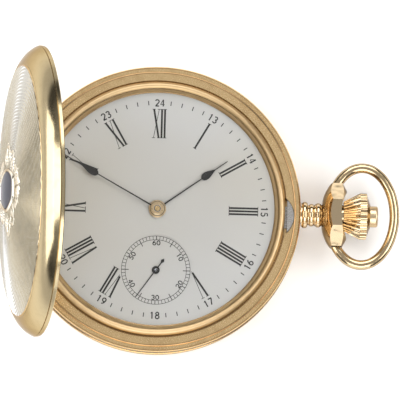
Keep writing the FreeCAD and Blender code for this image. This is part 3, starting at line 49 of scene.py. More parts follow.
class Recipe:
    """A material under construction: a Principled shader and helpers for its nodes."""

    def __init__(self, name, colour, metallic=0.0, roughness=0.4, **sockets):
        self.material = bpy.data.materials.new(name)
        self.material.use_nodes = True
        self.tree = self.material.node_tree
        self.shader = self.tree.nodes["Principled BSDF"]
        self.shader.inputs["Base Color"].default_value = (*colour, 1)
        self.shader.inputs["Metallic"].default_value = metallic
        self.shader.inputs["Roughness"].default_value = roughness
        for socket, value in sockets.items():
            self.shader.inputs[socket.replace("_", " ")].default_value = value
        self.place = self.tree.nodes.new("ShaderNodeTexCoord").outputs["Object"]
        self.normal = None

    def node(self, kind, **inputs):
        made = self.tree.nodes.new(kind)
        for name, value in inputs.items():
            self.feed(made.inputs[name.replace("_", " ")], value)
        return made

    def feed(self, socket, value):
        if isinstance(value, bpy.types.NodeSocket):
            self.tree.links.new(value, socket)
        else:
            socket.default_value = value

    def math(self, operation, first, second=0.0):
        made = self.tree.nodes.new("ShaderNodeMath")
        made.operation = operation
        self.feed(made.inputs[0], first)
        self.feed(made.inputs[1], second)
        return made.outputs[0]

    def stretched(self, scale):
        return self.node("ShaderNodeMapping", Vector=self.place, Scale=scale).outputs["Vector"]

    def noise(self, scale, detail=4.0, stretch=(1, 1, 1)):
        """Noise whose scale is in features per metre."""
        made = self.node("ShaderNodeTexNoise", Vector=self.stretched(stretch), Scale=scale, Detail=detail)
        return made.outputs["Fac"]

    def distance(self):
        """Distance from the upright axis through the origin."""
        split = self.node("ShaderNodeSeparateXYZ", Vector=self.place)
        x, y = split.outputs["X"], split.outputs["Y"]
        return self.math("SQRT", self.math("ADD", self.math("MULTIPLY", x, x), self.math("MULTIPLY", y, y)))

    def ramp(self, factor, low, high, out_low, out_high):
        made = self.node("ShaderNodeMapRange", Value=factor)
        for name, value in (("From Min", low), ("From Max", high), ("To Min", out_low), ("To Max", out_high)):
            made.inputs[name].default_value = value
        return made.outputs["Result"]

    def bump(self, height, strength, distance):
        made = self.tree.nodes.new("ShaderNodeBump")
        made.inputs["Strength"].default_value = strength
        made.inputs["Distance"].default_value = distance
        self.feed(made.inputs["Height"], height)
        if self.normal:
            self.feed(made.inputs["Normal"], self.normal)
        self.normal = made.outputs["Normal"]
        self.feed(self.shader.inputs["Normal"], self.normal)

    def tones(self, factor, *stops):
        """A colour from a factor through (position, colour) stops."""
        ramp = self.tree.nodes.new("ShaderNodeValToRGB")
        while len(ramp.color_ramp.elements) < len(stops):
            ramp.color_ramp.elements.new(0.5)
        for element, (position, colour) in zip(ramp.color_ramp.elements, stops):
            element.position = position
            element.color = (*colour, 1)
        self.feed(ramp.inputs["Fac"], factor)
        return ramp.outputs["Color"]

    def colours(self, factor, *stops):
        """Base colour from a factor through (position, colour) stops."""
        self.feed(self.shader.inputs["Base Color"], self.tones(factor, *stops))


GOLD = (0.78, 0.56, 0.30)
GOLD_DEEP = (0.66, 0.45, 0.22)
# Painted shade: the dark brown that gold goes over to where its surface turns away from the view.
PAINTED_EDGE_SHADE = (0.20, 0.13, 0.07)
EDGE_TINT = (0.55, 0.47, 0.38, 1)
PALE_GOLD, PALE_DEEP = (0.70, 0.54, 0.34), (0.60, 0.46, 0.28)
LID_GOLD = (0.54, 0.44, 0.27)
LID_DEEP = (0.42, 0.33, 0.19)
# Painted reflection: grey gold for the engraved field, standing in for gold reflecting pale grey surroundings.
ENGRAVED_REFLECTION_GREY = (0.36, 0.31, 0.215)
# Painted reflection: the white that the engraved field and the scrolls go over to at grazing angles.
PAINTED_GRAZING_REFLECTION = (0.95, 0.95, 0.96)

# Depths of the bumps, in metres, and the pitch of the turning marks, in millimetres.
FINE, STRIPE, SWELL, PAPER_GRAIN = 0.00001, 0.00003, 0.0003, 0.00002
TURNING_PITCH = 0.09

# Painted shade of a turned ring at each radius in mm, from 0 in its grooves and at the gap to the bezel to 1 on
# its faces;
# the dark band from 23.87 to 24.03 is painted shade laid over the highlight of the rounded rim there.
RIM_PAINTED_SHADE = [
    (22.3, 0.2), (22.6, 0.9), (23.1, 1.0), (23.74, 0.9), (23.87, 0.12), (24.03, 0.12), (24.16, 0.9), (24.5, 1.0),
    (24.66, 0.8), (24.78, 0.15), (24.86, 0.15), (24.91, 1.0), (25.0, 1.0),
]
# Painted shade of the bezel at each radius in mm: dark beside the glass, in its groove and at the gap to the case.
BEZEL_PAINTED_SHADE = [
    (20.4, 0.1), (20.62, 0.3), (20.8, 0.8), (20.98, 0.8), (21.1, 0.3), (21.3, 1.0), (21.9, 1.0), (22.15, 0.5),
    (22.25, 0.1),
]


def gold(name, roughness, grain, ring=None, light=GOLD, dark=GOLD_DEEP, turned_away_paint=PAINTED_EDGE_SHADE, tint=EDGE_TINT,
         turn=(0.62, 0.97), wavy=0.0):
    """Gold plate with cloudy tone and fine scratches.

    Where the surface turns away from the view it goes over to its turned-away colour, within the limits of turn:
    painted shade with the dark brown default, painted reflection with a white one. A ring gives painted shade
    by radius, darker in grooves and gaps, and adds turning marks; wavy gives the swell of a worn polish.
    """
    made = Recipe(name, light, metallic=1.0, roughness=roughness, Specular_Tint=tint)
    cloud = made.ramp(made.noise(600.0, 1.0), 0.3, 0.7, 0.72, 1.0)
    # Painted shade: tone is the random cloud times a fall towards the turned-away colour as the surface turns away
    # from the view.
    facing = made.node("ShaderNodeLayerWeight", Blend=0.5).outputs["Facing"]
    tone = made.math("MULTIPLY", cloud, made.ramp(facing, *turn, 1.0, 0.0))
    if ring:
        radius = made.distance()
        inner, outer = ring[0][0], ring[-1][0]
        place = made.ramp(radius, inner * MM, outer * MM, 0.0, 1.0)
        # Painted shade by radius, from the ring's table.
        tone = made.math("MULTIPLY", tone, made.tones(
            place, *[((r - inner) / (outer - inner), (shade, shade, shade)) for r, shade in ring]))
        lines = made.math("SINE", made.math("MULTIPLY", radius, 2 * math.pi / (TURNING_PITCH * MM)))
        made.bump(made.math("MULTIPLY", lines, made.noise(2500.0, 2.0)), 0.02, FINE)
    made.colours(tone, (0.0, turned_away_paint), (0.38, dark), (0.85, light))
    marks = made.noise(9000.0, 2.0, (1.0, 1.0, 0.12))
    made.feed(made.shader.inputs["Roughness"], made.ramp(marks, 0.3, 0.7, roughness * 0.85, roughness * 1.2))
    if wavy:
        made.bump(made.noise(520.0, 1.0), wavy, SWELL)
    made.bump(marks, grain, FINE)
    return made.material


def plain(name, colour, metallic, roughness, grain=0.12, second=None, **sockets):
    """A material with broad tone variation between two colours and a micro texture."""
    made = Recipe(name, colour, metallic, roughness, **sockets)
    fine = made.noise(6000.0, 3.0)
    other = second or tuple(c * 0.82 for c in colour)
    made.colours(made.noise(360.0, 3.0), (0.3, other), (0.65, colour))
    made.feed(made.shader.inputs["Roughness"], made.ramp(fine, 0.3, 0.7, roughness * 0.8, roughness * 1.3))
    made.bump(fine, grain, FINE)
    return made.material


def dial_silver():
    """Silvered dial: a fine satin with a tiny sparkle and broad noise patches of warmer grey, partly random tone
    and partly painted light for the warm cast the gold cover throws on one side.
    """
    made = Recipe("silvered_satin", (0.44, 0.43, 0.41), metallic=0.25, roughness=0.42)
    grain = made.noise(14000.0, 2.0)
    broad = made.noise(38.0, 1.0)
    made.colours(broad, (0.32, (0.480, 0.463, 0.418)), (0.62, (0.500, 0.497, 0.480)))
    made.feed(made.shader.inputs["Roughness"], made.ramp(grain, 0.3, 0.7, 0.34, 0.5))
    made.bump(grain, 0.10, FINE)
    return made.material


def striped_nickel():
    """Nickel bridges with broad polished stripes across them."""
    made = Recipe("striped_nickel", (0.66, 0.65, 0.62), metallic=1.0, roughness=0.28)
    wave = made.node("ShaderNodeTexWave", Vector=made.stretched((1, 1, 0)), Scale=75.0, Distortion=0.0)
    wave.bands_direction = "DIAGONAL"
    fine = made.noise(9000.0, 2.0, (1.0, 0.2, 1.0))
    made.colours(wave.outputs["Fac"], (0.0, (0.52, 0.51, 0.49)), (1.0, (0.72, 0.71, 0.68)))
    made.feed(made.shader.inputs["Roughness"], made.ramp(fine, 0.3, 0.7, 0.2, 0.36))
    made.bump(wave.outputs["Fac"], 0.25, STRIPE)
    made.bump(fine, 0.1, FINE)
    return made.material


def clear_glass():
    """Watch glass with a faint smear; its bending of light is kept low so that the dial stays in place."""
    made = Recipe("watch_glass", (1.0, 1.0, 1.0), roughness=0.02, Transmission_Weight=1.0, IOR=1.05)
    smear = made.noise(400.0, 2.0)
    made.feed(made.shader.inputs["Roughness"], made.ramp(smear, 0.35, 0.75, 0.0, 0.03))
    return made.material


MATERIALS = {
    "polished": gold("gold_polished", 0.13, 0.03),
    "turned": gold("gold_turned", 0.24, 0.02, ring=RIM_PAINTED_SHADE, light=(0.93, 0.66, 0.34), dark=(0.68, 0.44, 0.20)),
    "satin": gold("gold_satin", 0.40, 0.02, ring=BEZEL_PAINTED_SHADE, light=(0.56, 0.40, 0.22), dark=(0.45, 0.31, 0.15)),
    # Pendant, crown and bow: wider turn limits spread the painted shade further in from their rims.
    "worn": gold("gold_worn", 0.12, 0.03, light=PALE_GOLD, dark=PALE_DEEP, turn=(0.42, 0.86), wavy=0.35),
    "bow": gold(
        "gold_bow", 0.12, 0.03, light=(0.60, 0.46, 0.28), dark=(0.46, 0.34, 0.19), turn=(0.36, 0.82), wavy=0.2),
    "lid": gold("gold_lid", 0.16, 0.05, light=LID_GOLD, dark=LID_DEEP),
    # Engraved field: gold coloured grey, going white at grazing angles, both painted reflection.
    "engraved": gold(
        "gold_engraved", 0.14, 0.03, light=ENGRAVED_REFLECTION_GREY, dark=(0.19, 0.17, 0.125), turned_away_paint=PAINTED_GRAZING_REFLECTION,
        tint=(1, 1, 1, 1), turn=(0.72, 0.88)),
    # Scrolls go over to the white painted reflection at grazing angles.
    "scroll": gold("gold_scroll", 0.12, 0.02, light=(0.90, 0.86, 0.76), dark=(0.62, 0.56, 0.45), turned_away_paint=PAINTED_GRAZING_REFLECTION),
    # Shield: polished gold given a near-black colour, a painted dark reflection.
    "shield": gold(
        "gold_shield", 0.10, 0.03, light=(0.17, 0.16, 0.15), dark=(0.11, 0.10, 0.10), turned_away_paint=(0.12, 0.12, 0.13),
        tint=(0.42, 0.43, 0.47, 1)),
    "bush": gold("gold_bush", 0.30, 0.04, light=PALE_GOLD, dark=PALE_DEEP),
    "dark_steel": plain("dark_steel", (0.33, 0.34, 0.36), 1.0, 0.2),
    "steel": plain("polished_steel", (0.66, 0.63, 0.59), 1.0, 0.24),
    "black": plain("black_lacquer", (0.018, 0.017, 0.016), 0.0, 0.34, Coat_Weight=0.4),
    "ink": plain("printing_ink", (0.022, 0.021, 0.020), 0.0, 0.6, grain=0.2),
    "dial": dial_silver(),
    "glass": clear_glass(),
    "gilt": plain("gilt_brass", (0.86, 0.62, 0.30), 1.0, 0.24, grain=0.04),
    "nickel": striped_nickel(),
    "ruby": plain("ruby", (0.55, 0.02, 0.08), 0.0, 0.08, Transmission_Weight=0.5, IOR=1.76),
    "blued": plain("blued_steel", (0.03, 0.06, 0.34), 1.0, 0.2, second=(0.06, 0.03, 0.24)),
}
SLOT_LOOK = {
    "gold_case": "polished", "steel": "steel", "black_hand": "black", "silvered_dial": "dial",
    "watch_glass": "glass", "gilt_brass": "gilt", "nickel_plate": "nickel", "ruby": "ruby",
    "blued_steel": "blued",
}
NODE_LOOK = {
    "bezel": "satin", "case_middle": "turned", "front_cover": "lid", "pendant": "worn", "crown": "worn",
    "bow": "bow", "push_button": "bush", "hour_hand_bush": "bush", "minute_hand_bush": "bush",
}


def dress_frame():
    """Give every CAD node its procedural material."""
    for part in frame["record"]["subparts"]:
        thing = NODES[part["node"]]
        look = NODE_LOOK.get(part["node"], SLOT_LOOK[part["material_slot"]])
        thing.data.materials.clear()
        thing.data.materials.append(MATERIALS[look])


# ---------------------------------------------------------------- mesh helpers

def make_mesh(name, points, faces, look, body, smooth=False):
    """A mesh in metres from points in millimetres, riding on a body."""
    mesh = bpy.data.meshes.new(name)
    mesh.from_pydata([tuple(c * MM for c in point) for point in points], [], faces)
    mesh.validate()
    mesh.materials.append(MATERIALS[look])
    if smooth:
        mesh.polygons.foreach_set("use_smooth", [True] * len(mesh.polygons))
    thing = bpy.data.objects.new(name, mesh)
    bpy.context.scene.collection.objects.link(thing)
    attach(thing, body)
    return thing


class Print:
    """Thin raised printing: closed outlines in the plan, given a thickness."""

    THICKNESS = 0.012

    def __init__(self, low):
        self.low, self.high = low, low + self.THICKNESS
        self.points, self.faces = [], []

    def polygon(self, outline):
        """A convex outline, counter-clockwise, as a thin prism."""
        start, count = len(self.points), len(outline)
        self.points += [(x, y, self.high) for x, y in outline] + [(x, y, self.low) for x, y in outline]
        self.faces.append([start + i for i in range(count)])
        self.faces.append([start + count + i for i in reversed(range(count))])
        for i in range(count):
            j = (i + 1) % count
            self.faces.append([start + i, start + count + i, start + count + j, start + j])

    def stroke(self, place, start, end, width):
        """A straight stroke between two points of a glyph."""
        ax, ay = start
        bx, by = end
        length = math.hypot(bx - ax, by - ay)
        nx, ny = -(by - ay) / length * width / 2, (bx - ax) / length * width / 2
        self.polygon([
            place(ax - nx, ay - ny), place(bx - nx, by - ny), place(bx + nx, by + ny), place(ax + nx, ay + ny)])

    def ring(self, centre, radius, width, steps=180):
        """A thin circle."""
        inner, outer = radius - width / 2, radius + width / 2
        for step in range(steps):
            a, b = 2 * math.pi * step / steps, 2 * math.pi * (step + 1) / steps
            self.polygon([
                (centre[0] + r * math.cos(t), centre[1] + r * math.sin(t))
                for r, t in ((inner, a), (outer, a), (outer, b), (inner, b))
            ])


def radial(centre, radius, clock, flip=False):
    """Glyph coordinates on a circle: x along it, y outwards (or inwards if flipped)."""
    angle = math.radians(90 - clock)
    out = (math.cos(angle), math.sin(angle))
    along = (out[1], -out[0])
    sign = -1 if flip else 1

    def place(x, y):
        u, v = sign * x, radius + sign * y
        return centre[0] + out[0] * v + along[0] * u, centre[1] + out[1] * v + along[1] * u

    return place


# ---------------------------------------------------------------- dial printing

DIAL_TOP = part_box("dial")[1].z / MM
SUBDIAL = (0.0, -10.7)
SUBDIAL_DEPTH = 0.12
ROMAN_FOOT, ROMAN_HEIGHT = 12.45, 5.12
THICK, THIN, SERIF = 0.33, 0.10, 0.10
STEM_GAP = 0.53
SERIF_REACH = {"I": 0.33, "V": 0.3, "X": 0.28}
LEAN_MARGIN = 0.22
ROMANS = {1: "I", 2: "II", 3: "III", 4: "IIII", 5: "V", 7: "VII", 8: "VIII", 9: "IX", 10: "X", 11: "XI", 12: "XII"}
WIDTHS = {"I": STEM_GAP, "V": 1.4, "X": 1.35}
CUT_NUMERALS = (5, 7)
CUT_RADIUS = 6.18
MARK_RADIUS, MARK_LENGTH, MARK_WIDTH = 18.3, 0.74, 0.16
FIGURE_RADIUS, FIGURE_HEIGHT, FIGURE_THICK, FIGURE_THIN = 18.64, 1.2, 0.22, 0.12
TRACK_OUTER, TRACK_INNER, TRACK_LINE = 5.98, 5.32, 0.085
FIVE_MARK, SECOND_MARK, LONG_MARK = 0.13, 0.09, 0.6
SECONDS_RADIUS, SECONDS_HEIGHT, SECONDS_THICK, SECONDS_THIN, SECONDS_STRETCH = 4.78, 0.80, 0.17, 0.11, 1.25


def draw_roman(ink, text, place):
    """A Roman numeral with thick and thin strokes and hairline serifs, about x = 0."""
    height = ROMAN_HEIGHT
    low, high = SERIF / 2, height - SERIF / 2
    left = -sum(WIDTHS[letter] for letter in text) / 2
    for letter in text:
        middle, half = left + WIDTHS[letter] / 2, WIDTHS[letter] / 2 - LEAN_MARGIN
        if letter == "I":
            ink.stroke(place, (middle, 0), (middle, height), THICK)
            serifs = [(middle, low), (middle, high)]
        elif letter == "V":
            ink.stroke(place, (middle - half, height), (middle, 0), THICK)
            ink.stroke(place, (middle, 0), (middle + half, height), THIN)
            serifs = [(middle - half, high), (middle + half, high)]
        else:
            ink.stroke(place, (middle - half, height), (middle + half, 0), THICK)
            ink.stroke(place, (middle - half, 0), (middle + half, height), THIN)
            serifs = [(x, y) for x in (middle - half, middle + half) for y in (low, high)]
        reach = SERIF_REACH[letter]
        for x, y in serifs:
            ink.stroke(place, (x - reach, y), (x + reach, y), SERIF)
        left += WIDTHS[letter]


def between(start, end, share):
    """The point at a share of the way from start to end."""
    return start[0] + (end[0] - start[0]) * share, start[1] + (end[1] - start[1]) * share


def clipped(ink, text, place, centre, radius, steps=40):
    """A Roman numeral drawn only outside a circle, in short steps."""
    trial = Print(ink.low)
    draw_roman(trial, text, place)
    prism = 8
    for start in range(0, len(trial.points), prism):
        a, b, c, d = (point[:2] for point in trial.points[start:start + 4])
        for step in range(steps):
            s, t = step / steps, (step + 1) / steps
            quad = [between(a, b, s), between(a, b, t), between(d, c, t), between(d, c, s)]
            if min(math.hypot(x - centre[0], y - centre[1]) for x, y in quad) > radius:
                ink.polygon(quad)


DIGIT_WIDTH, DIGIT_GAP = 0.62, 0.14


def arc_points(cx, cy, rx, ry, start, end, steps=14):
    """Points along part of an oval, from one angle in degrees to another."""
    return [
        (cx + rx * math.cos(math.radians(start + (end - start) * k / steps)),
         cy + ry * math.sin(math.radians(start + (end - start) * k / steps)))
        for k in range(steps + 1)
    ]


def digit_strokes(digit):
    """Centre lines of a digit in a box of height 1: (points, thick) pairs."""
    w = DIGIT_WIDTH
    bowl = w / 2 - 0.05
    shapes = {
        "0": [(arc_points(w / 2, 0.5, bowl, 0.46, 0, 360, 24), 1)],
        "1": [([(w / 2, 0.0), (w / 2, 1.0)], 1), ([(w / 2, 1.0), (w / 2 - 0.2, 0.78)], 0)],
        "2": [(arc_points(w / 2, 0.72, bowl, 0.25, 165, -35), 1), ([(w - 0.1, 0.56), (0.08, 0.05)], 1),
              ([(0.05, 0.05), (w - 0.04, 0.05)], 1)],
        "3": [(arc_points(w / 2 - 0.02, 0.74, bowl - 0.02, 0.22, 150, -90), 1),
              (arc_points(w / 2 - 0.02, 0.27, bowl, 0.25, 90, -150), 1)],
        "4": [([(w - 0.2, 0.0), (w - 0.2, 1.0)], 1), ([(w - 0.2, 1.0), (0.02, 0.28)], 0),
              ([(0.02, 0.28), (w, 0.28)], 0)],
        "5": [([(w - 0.06, 0.95), (0.14, 0.95)], 1), ([(0.14, 0.95), (0.1, 0.55)], 0),
              (arc_points(w / 2 - 0.02, 0.32, bowl, 0.28, 120, -150), 1)],
        "6": [(arc_points(w / 2, 0.3, bowl, 0.27, 0, 360, 20), 1),
              (arc_points(w - 0.02, 0.32, w - 0.1, 0.66, 180, 105), 1)],
        "7": [([(0.04, 0.95), (w - 0.04, 0.95)], 1), ([(w - 0.06, 0.95), (0.2, 0.0)], 1)],
        "8": [(arc_points(w / 2, 0.75, bowl - 0.04, 0.21, 0, 360, 20), 1),
              (arc_points(w / 2, 0.27, bowl, 0.25, 0, 360, 20), 1)],
        "9": [(arc_points(w / 2, 0.7, bowl, 0.27, 0, 360, 20), 1),
              (arc_points(0.02, 0.68, w - 0.1, 0.66, 0, -75), 1)],
    }
    return shapes[digit]


def draw_number(ink, text, place, height, thick, thin, stretch=1.0):
    """Arabic figures centred on x = 0 and on y = 0."""
    step = (DIGIT_WIDTH * stretch + DIGIT_GAP) * height
    left = -step * len(text) / 2 + DIGIT_GAP / 2 * height
    for digit in text:
        for points, heavy in digit_strokes(digit):
            width = thick if heavy else thin
            for (ax, ay), (bx, by) in zip(points, points[1:]):
                start = (left + ax * stretch * height, (ay - 0.5) * height)
                end = (left + bx * stretch * height, (by - 0.5) * height)
                ink.stroke(place, start, end, width)
        left += step


def print_dial():
    """Hours, 24-hour figures and minute marks on the dial; seconds track on the sunk dial."""
    ink = Print(DIAL_TOP)
    centre = (0.0, 0.0)
    for hour, text in ROMANS.items():
        place = radial(centre, ROMAN_FOOT, hour * 30)
        if hour in CUT_NUMERALS:
            clipped(ink, text, place, SUBDIAL, CUT_RADIUS)
        else:
            draw_roman(ink, text, place)
    for minute in range(60):
        if minute % 5:
            ink.stroke(radial(centre, MARK_RADIUS, minute * 6), (0, -0.02), (0, MARK_LENGTH), MARK_WIDTH)
    for hour in range(1, 13):
        place = radial(centre, FIGURE_RADIUS, hour * 30, flip=4 <= hour <= 8)
        draw_number(ink, str(12 + hour), place, FIGURE_HEIGHT, FIGURE_THICK, FIGURE_THIN)
    make_mesh("dial_printing", ink.points, ink.faces, "ink", "case")

    seconds = Print(DIAL_TOP - SUBDIAL_DEPTH)
    for radius in (TRACK_OUTER, TRACK_INNER):
        seconds.ring(SUBDIAL, radius, TRACK_LINE)
    for second in range(60):
        reach = TRACK_OUTER - TRACK_INNER
        if second % 10 == 5:
            reach += LONG_MARK
        width = SECOND_MARK if second % 5 else FIVE_MARK
        seconds.stroke(radial(SUBDIAL, TRACK_OUTER, second * 6), (0, -reach), (0, 0), width)
    for second in range(0, 60, 10):
        place = radial(SUBDIAL, SECONDS_RADIUS, second * 6, flip=second in (20, 30, 40))
        draw_number(
            seconds, str(second or 60), place, SECONDS_HEIGHT, SECONDS_THICK, SECONDS_THIN, SECONDS_STRETCH)
    make_mesh("seconds_printing", seconds.points, seconds.faces, "ink", "case")


# ---------------------------------------------------------------- hand centres

def turned_piece(name, centre, outline, look, body, steps=64):
    """A piece of revolution about an upright axis, from (radius, height) points."""
    points = [
        (centre[0] + r * math.cos(2 * math.pi * k / steps), centre[1] + r * math.sin(2 * math.pi * k / steps), z)
        for r, z in outline for k in range(steps)
    ]
    faces = []
    for row in range(len(outline) - 1):
        for k in range(steps):
            j = (k + 1) % steps
            faces.append((row * steps + k, row * steps + j, (row + 1) * steps + j, (row + 1) * steps + k))
    last = (len(outline) - 1) * steps
    faces.append(tuple(range(last, last + steps)))
    return make_mesh(name, points, faces, look, body)


def hand_centres():
    """Steel arbor tip in the minute hand, a collar round its bush and a cap on the seconds hub."""
    bush_foot, bush_top = (corner.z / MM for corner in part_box("minute_hand_bush"))
    turned_piece("centre_arbor_tip", (0, 0), [
        (0.62, bush_top - 0.04), (0.58, bush_top + 0.02), (0.42, bush_top + 0.03), (0.34, bush_top - 0.02),
        (0.12, bush_top), (0.06, bush_top + 0.01),
    ], "dark_steel", "centre")
    turned_piece("minute_bush_collar", (0, 0), [
        (1.215, bush_foot - 0.01), (1.215, bush_foot + 0.04), (1.18, bush_foot + 0.07), (1.05, bush_foot + 0.08),
    ], "bush", "centre")
    hub_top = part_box("seconds_hand")[1].z / MM
    turned_piece("seconds_hub_ring", SUBDIAL, [
        (0.28, hub_top - 0.02), (0.26, hub_top + 0.03), (0.19, hub_top + 0.04), (0.14, hub_top + 0.01),
        (0.08, hub_top + 0.02),
    ], "dark_steel", "fourth")


# ---------------------------------------------------------------- front cover's engraving

LID_OPEN = math.radians(80.6)
LID_RIM = 9.2
DOME_TOP, DOME_EDGE, DOME_RISE = 5.75, 21.7, 2.3
DOME_SPHERE = (DOME_EDGE ** 2 + DOME_RISE ** 2) / (2 * DOME_RISE)
FIELD_INNER, FIELD_OUTER, FIELD_STEP, FIELD_SPOKES = 3.0, 21.5, 0.075, 360
FIELD_SINK, FIELD_RISE = 0.03, 0.01
RIB_PITCH, RIB_HEIGHT, RIB_STARTS, RIB_LOBES, RIB_WAVE = 0.62, 0.15, 48, 12, 0.08


def hinge_of_lid():
    """Place, in millimetres, and direction of the front cover's hinge axis."""
    joint = next(j for j in frame["record"]["behaviour"]["joints"] if j["name"] == "front_cover_hinge")
    return Vector(joint["pos_m"]) / MM, Vector(joint["axis"])


def opened(points):
    """Points given on the shut cover, moved to where the cover stands open."""
    pivot, axis = hinge_of_lid()
    swing = Matrix.Rotation(-LID_OPEN, 3, axis)
    return [tuple(pivot + swing @ (Vector(point) - pivot)) for point in points]


def dome(x, y, lift=0.0):
    """Point above the shut cover's dome at a place in the plan."""
    radius = math.hypot(x, y)
    return x, y, LID_RIM + DOME_TOP - DOME_SPHERE + math.sqrt(DOME_SPHERE ** 2 - radius ** 2) + lift


def engraved_field():
    """Fine spiral ribs round the dome, cut like engine turning."""
    rings = int((FIELD_OUTER - FIELD_INNER) / FIELD_STEP)
    points, faces = [], []
    for ring in range(rings + 1):
        radius = FIELD_INNER + ring * FIELD_STEP
        for spoke in range(FIELD_SPOKES):
            angle = 2 * math.pi * spoke / FIELD_SPOKES
            wave = RIB_WAVE * math.sin(RIB_LOBES * angle)
            turns = (radius + wave) / RIB_PITCH + RIB_STARTS * spoke / FIELD_SPOKES
            rib = 0.5 + 0.5 * math.sin(2 * math.pi * turns)
            lift = -FIELD_SINK if ring in (0, rings) else FIELD_RISE + RIB_HEIGHT * rib
            points.append(dome(radius * math.cos(angle), radius * math.sin(angle), lift))
    for spoke in range(FIELD_SPOKES):
        after = (spoke + 1) % FIELD_SPOKES
        for ring in range(rings):
            near, far = ring * FIELD_SPOKES, (ring + 1) * FIELD_SPOKES
            faces.append((near + spoke, far + spoke, far + after, near + after))
    make_mesh("lid_engine_turning", opened(points), faces, "engraved", "front_lid", smooth=True)


class Beads:
    """Half-round raised lines laid over the cover's dome."""

    SIDES = 8

    def __init__(self):
        self.points, self.faces = [], []

    def line(self, path, widths, height=0.7, sink=0.03):
        """A raised line along points in the plan, with a half width at each point."""
        start, sides = len(self.points), self.SIDES
        for index, ((x, y), width) in enumerate(zip(path, widths)):
            ax, ay = path[max(index - 1, 0)]
            bx, by = path[min(index + 1, len(path) - 1)]
            length = math.hypot(bx - ax, by - ay) or 1.0
            nx, ny = -(by - ay) / length, (bx - ax) / length
            for side in range(sides):
                turn = math.pi * side / (sides - 1)
                across, up = width * math.cos(turn), width * height * math.sin(turn)
                self.points.append(dome(x + nx * across, y + ny * across, up - sink))
        for index in range(len(path) - 1):
            a, b = start + index * sides, start + (index + 1) * sides
            self.faces += [(a + k, a + k + 1, b + k + 1, b + k) for k in range(sides - 1)]
            self.faces.append((a + sides - 1, a, b, b + sides - 1))
        last = start + (len(path) - 1) * sides
        self.faces.append(tuple(range(start, start + sides))[::-1])
        self.faces.append(tuple(range(last, last + sides)))

    def circle(self, radius, width, steps=240):
        """A raised line right round the dome."""
        path = [(radius * math.cos(2 * math.pi * k / steps), radius * math.sin(2 * math.pi * k / steps))
                for k in range(steps + 1)]
        self.line(path, [width] * (steps + 1))

    def scroll(self, x, y, heading, size, hand, turns=1.25, width=0.27, steps=34):
        """A spiral scroll that starts at a place and curls to one hand."""
        path, widths = [(x, y)], [width * 0.35]
        angle = heading
        for step in range(steps):
            share = step / steps
            reach = size * (1.0 - 0.86 * share) * 2 * math.pi * turns / steps
            x, y = x + reach * math.cos(angle), y + reach * math.sin(angle)
            angle += hand * 2 * math.pi * turns / steps
            path.append((x, y))
            widths.append(width * (0.35 + 0.9 * math.sin(math.pi * min(1.0, share * 0.8 + 0.2))))
        self.line(path, widths)

    def leaf(self, x, y, heading, length, width, steps=10):
        """A pointed leaf."""
        path = [(x + length * k / steps * math.cos(heading), y + length * k / steps * math.sin(heading))
                for k in range(steps + 1)]
        self.line(path, [0.03 + width * math.sin(math.pi * (k / steps) ** 0.7) for k in range(steps + 1)], 0.9)


SHIELD_LONG, SHIELD_HALF = 6.4, 3.15
SHIELD_LIFT, SHIELD_CROWN = 0.42, 0.10
BORDER_LINE, LEAF_WIDTH = 0.30, 0.26


def shield_edge(share):
    """Outline of the shield, share running once round; the long axis points to the crown."""
    angle = 2 * math.pi * share
    flare = 1 + 0.05 * math.cos(4 * angle) + 0.07 * math.cos(angle)
    return SHIELD_LONG * math.cos(angle) * (1 - 0.04 * math.cos(4 * angle)), SHIELD_HALF * math.sin(angle) * flare


def shield():
    """Polished raised shield with a scrolled border in the middle of the cover."""
    rows, spokes = 12, 96
    points, faces = [dome(0, 0, SHIELD_LIFT)], []
    for row in range(1, rows + 1):
        share = row / rows
        lift = SHIELD_LIFT - SHIELD_CROWN * share ** 2 if row < rows else 0.0
        for spoke in range(spokes):
            x, y = shield_edge(spoke / spokes)
            points.append(dome(x * share, y * share, lift))
    for spoke in range(spokes):
        after = (spoke + 1) % spokes
        faces.append((0, 1 + spoke, 1 + after))
        for row in range(rows - 1):
            near, far = 1 + row * spokes, 1 + (row + 1) * spokes
            faces.append((near + spoke, far + spoke, far + after, near + after))
    make_mesh("lid_shield", opened(points), faces, "shield", "front_lid", smooth=True)

    border = Beads()
    steps = 120
    rim = [shield_edge(k / steps) for k in range(steps + 1)]
    border.line([(x * 1.03, y * 1.05) for x, y in rim], [BORDER_LINE] * (steps + 1), 1.5)
    for share, size, hand in SCROLLS:
        for mirror in (1, -1):
            x, y = shield_edge(share)
            heading = math.atan2(y, x)
            for turn, scale in ((hand, 1.0), (-hand, 0.72)):
                border.scroll(
                    x * 1.08, y * 1.12 * mirror, (heading - turn * 0.9) * mirror, size * scale, turn * mirror)
            border.leaf(x * 1.1, y * 1.15 * mirror, heading * mirror, size * 2.6, LEAF_WIDTH)
    make_mesh(
        "lid_scrollwork", opened(border.points), border.faces, "scroll", "front_lid", smooth=True)
    line = Beads()
    line.circle(FIELD_OUTER + 0.05, 0.10)
    make_mesh(
        "lid_border_line", opened(line.points), line.faces, "polished", "front_lid", smooth=True)


# Place round the shield, size in mm and hand of each scroll.
SCROLLS = [
    (0.0, 1.9, 1), (0.09, 1.7, -1), (0.17, 2.0, 1), (0.25, 2.3, -1),
    (0.33, 2.0, 1), (0.41, 1.7, -1), (0.5, 1.9, 1),
]


# ---------------------------------------------------------------- light, floor and camera

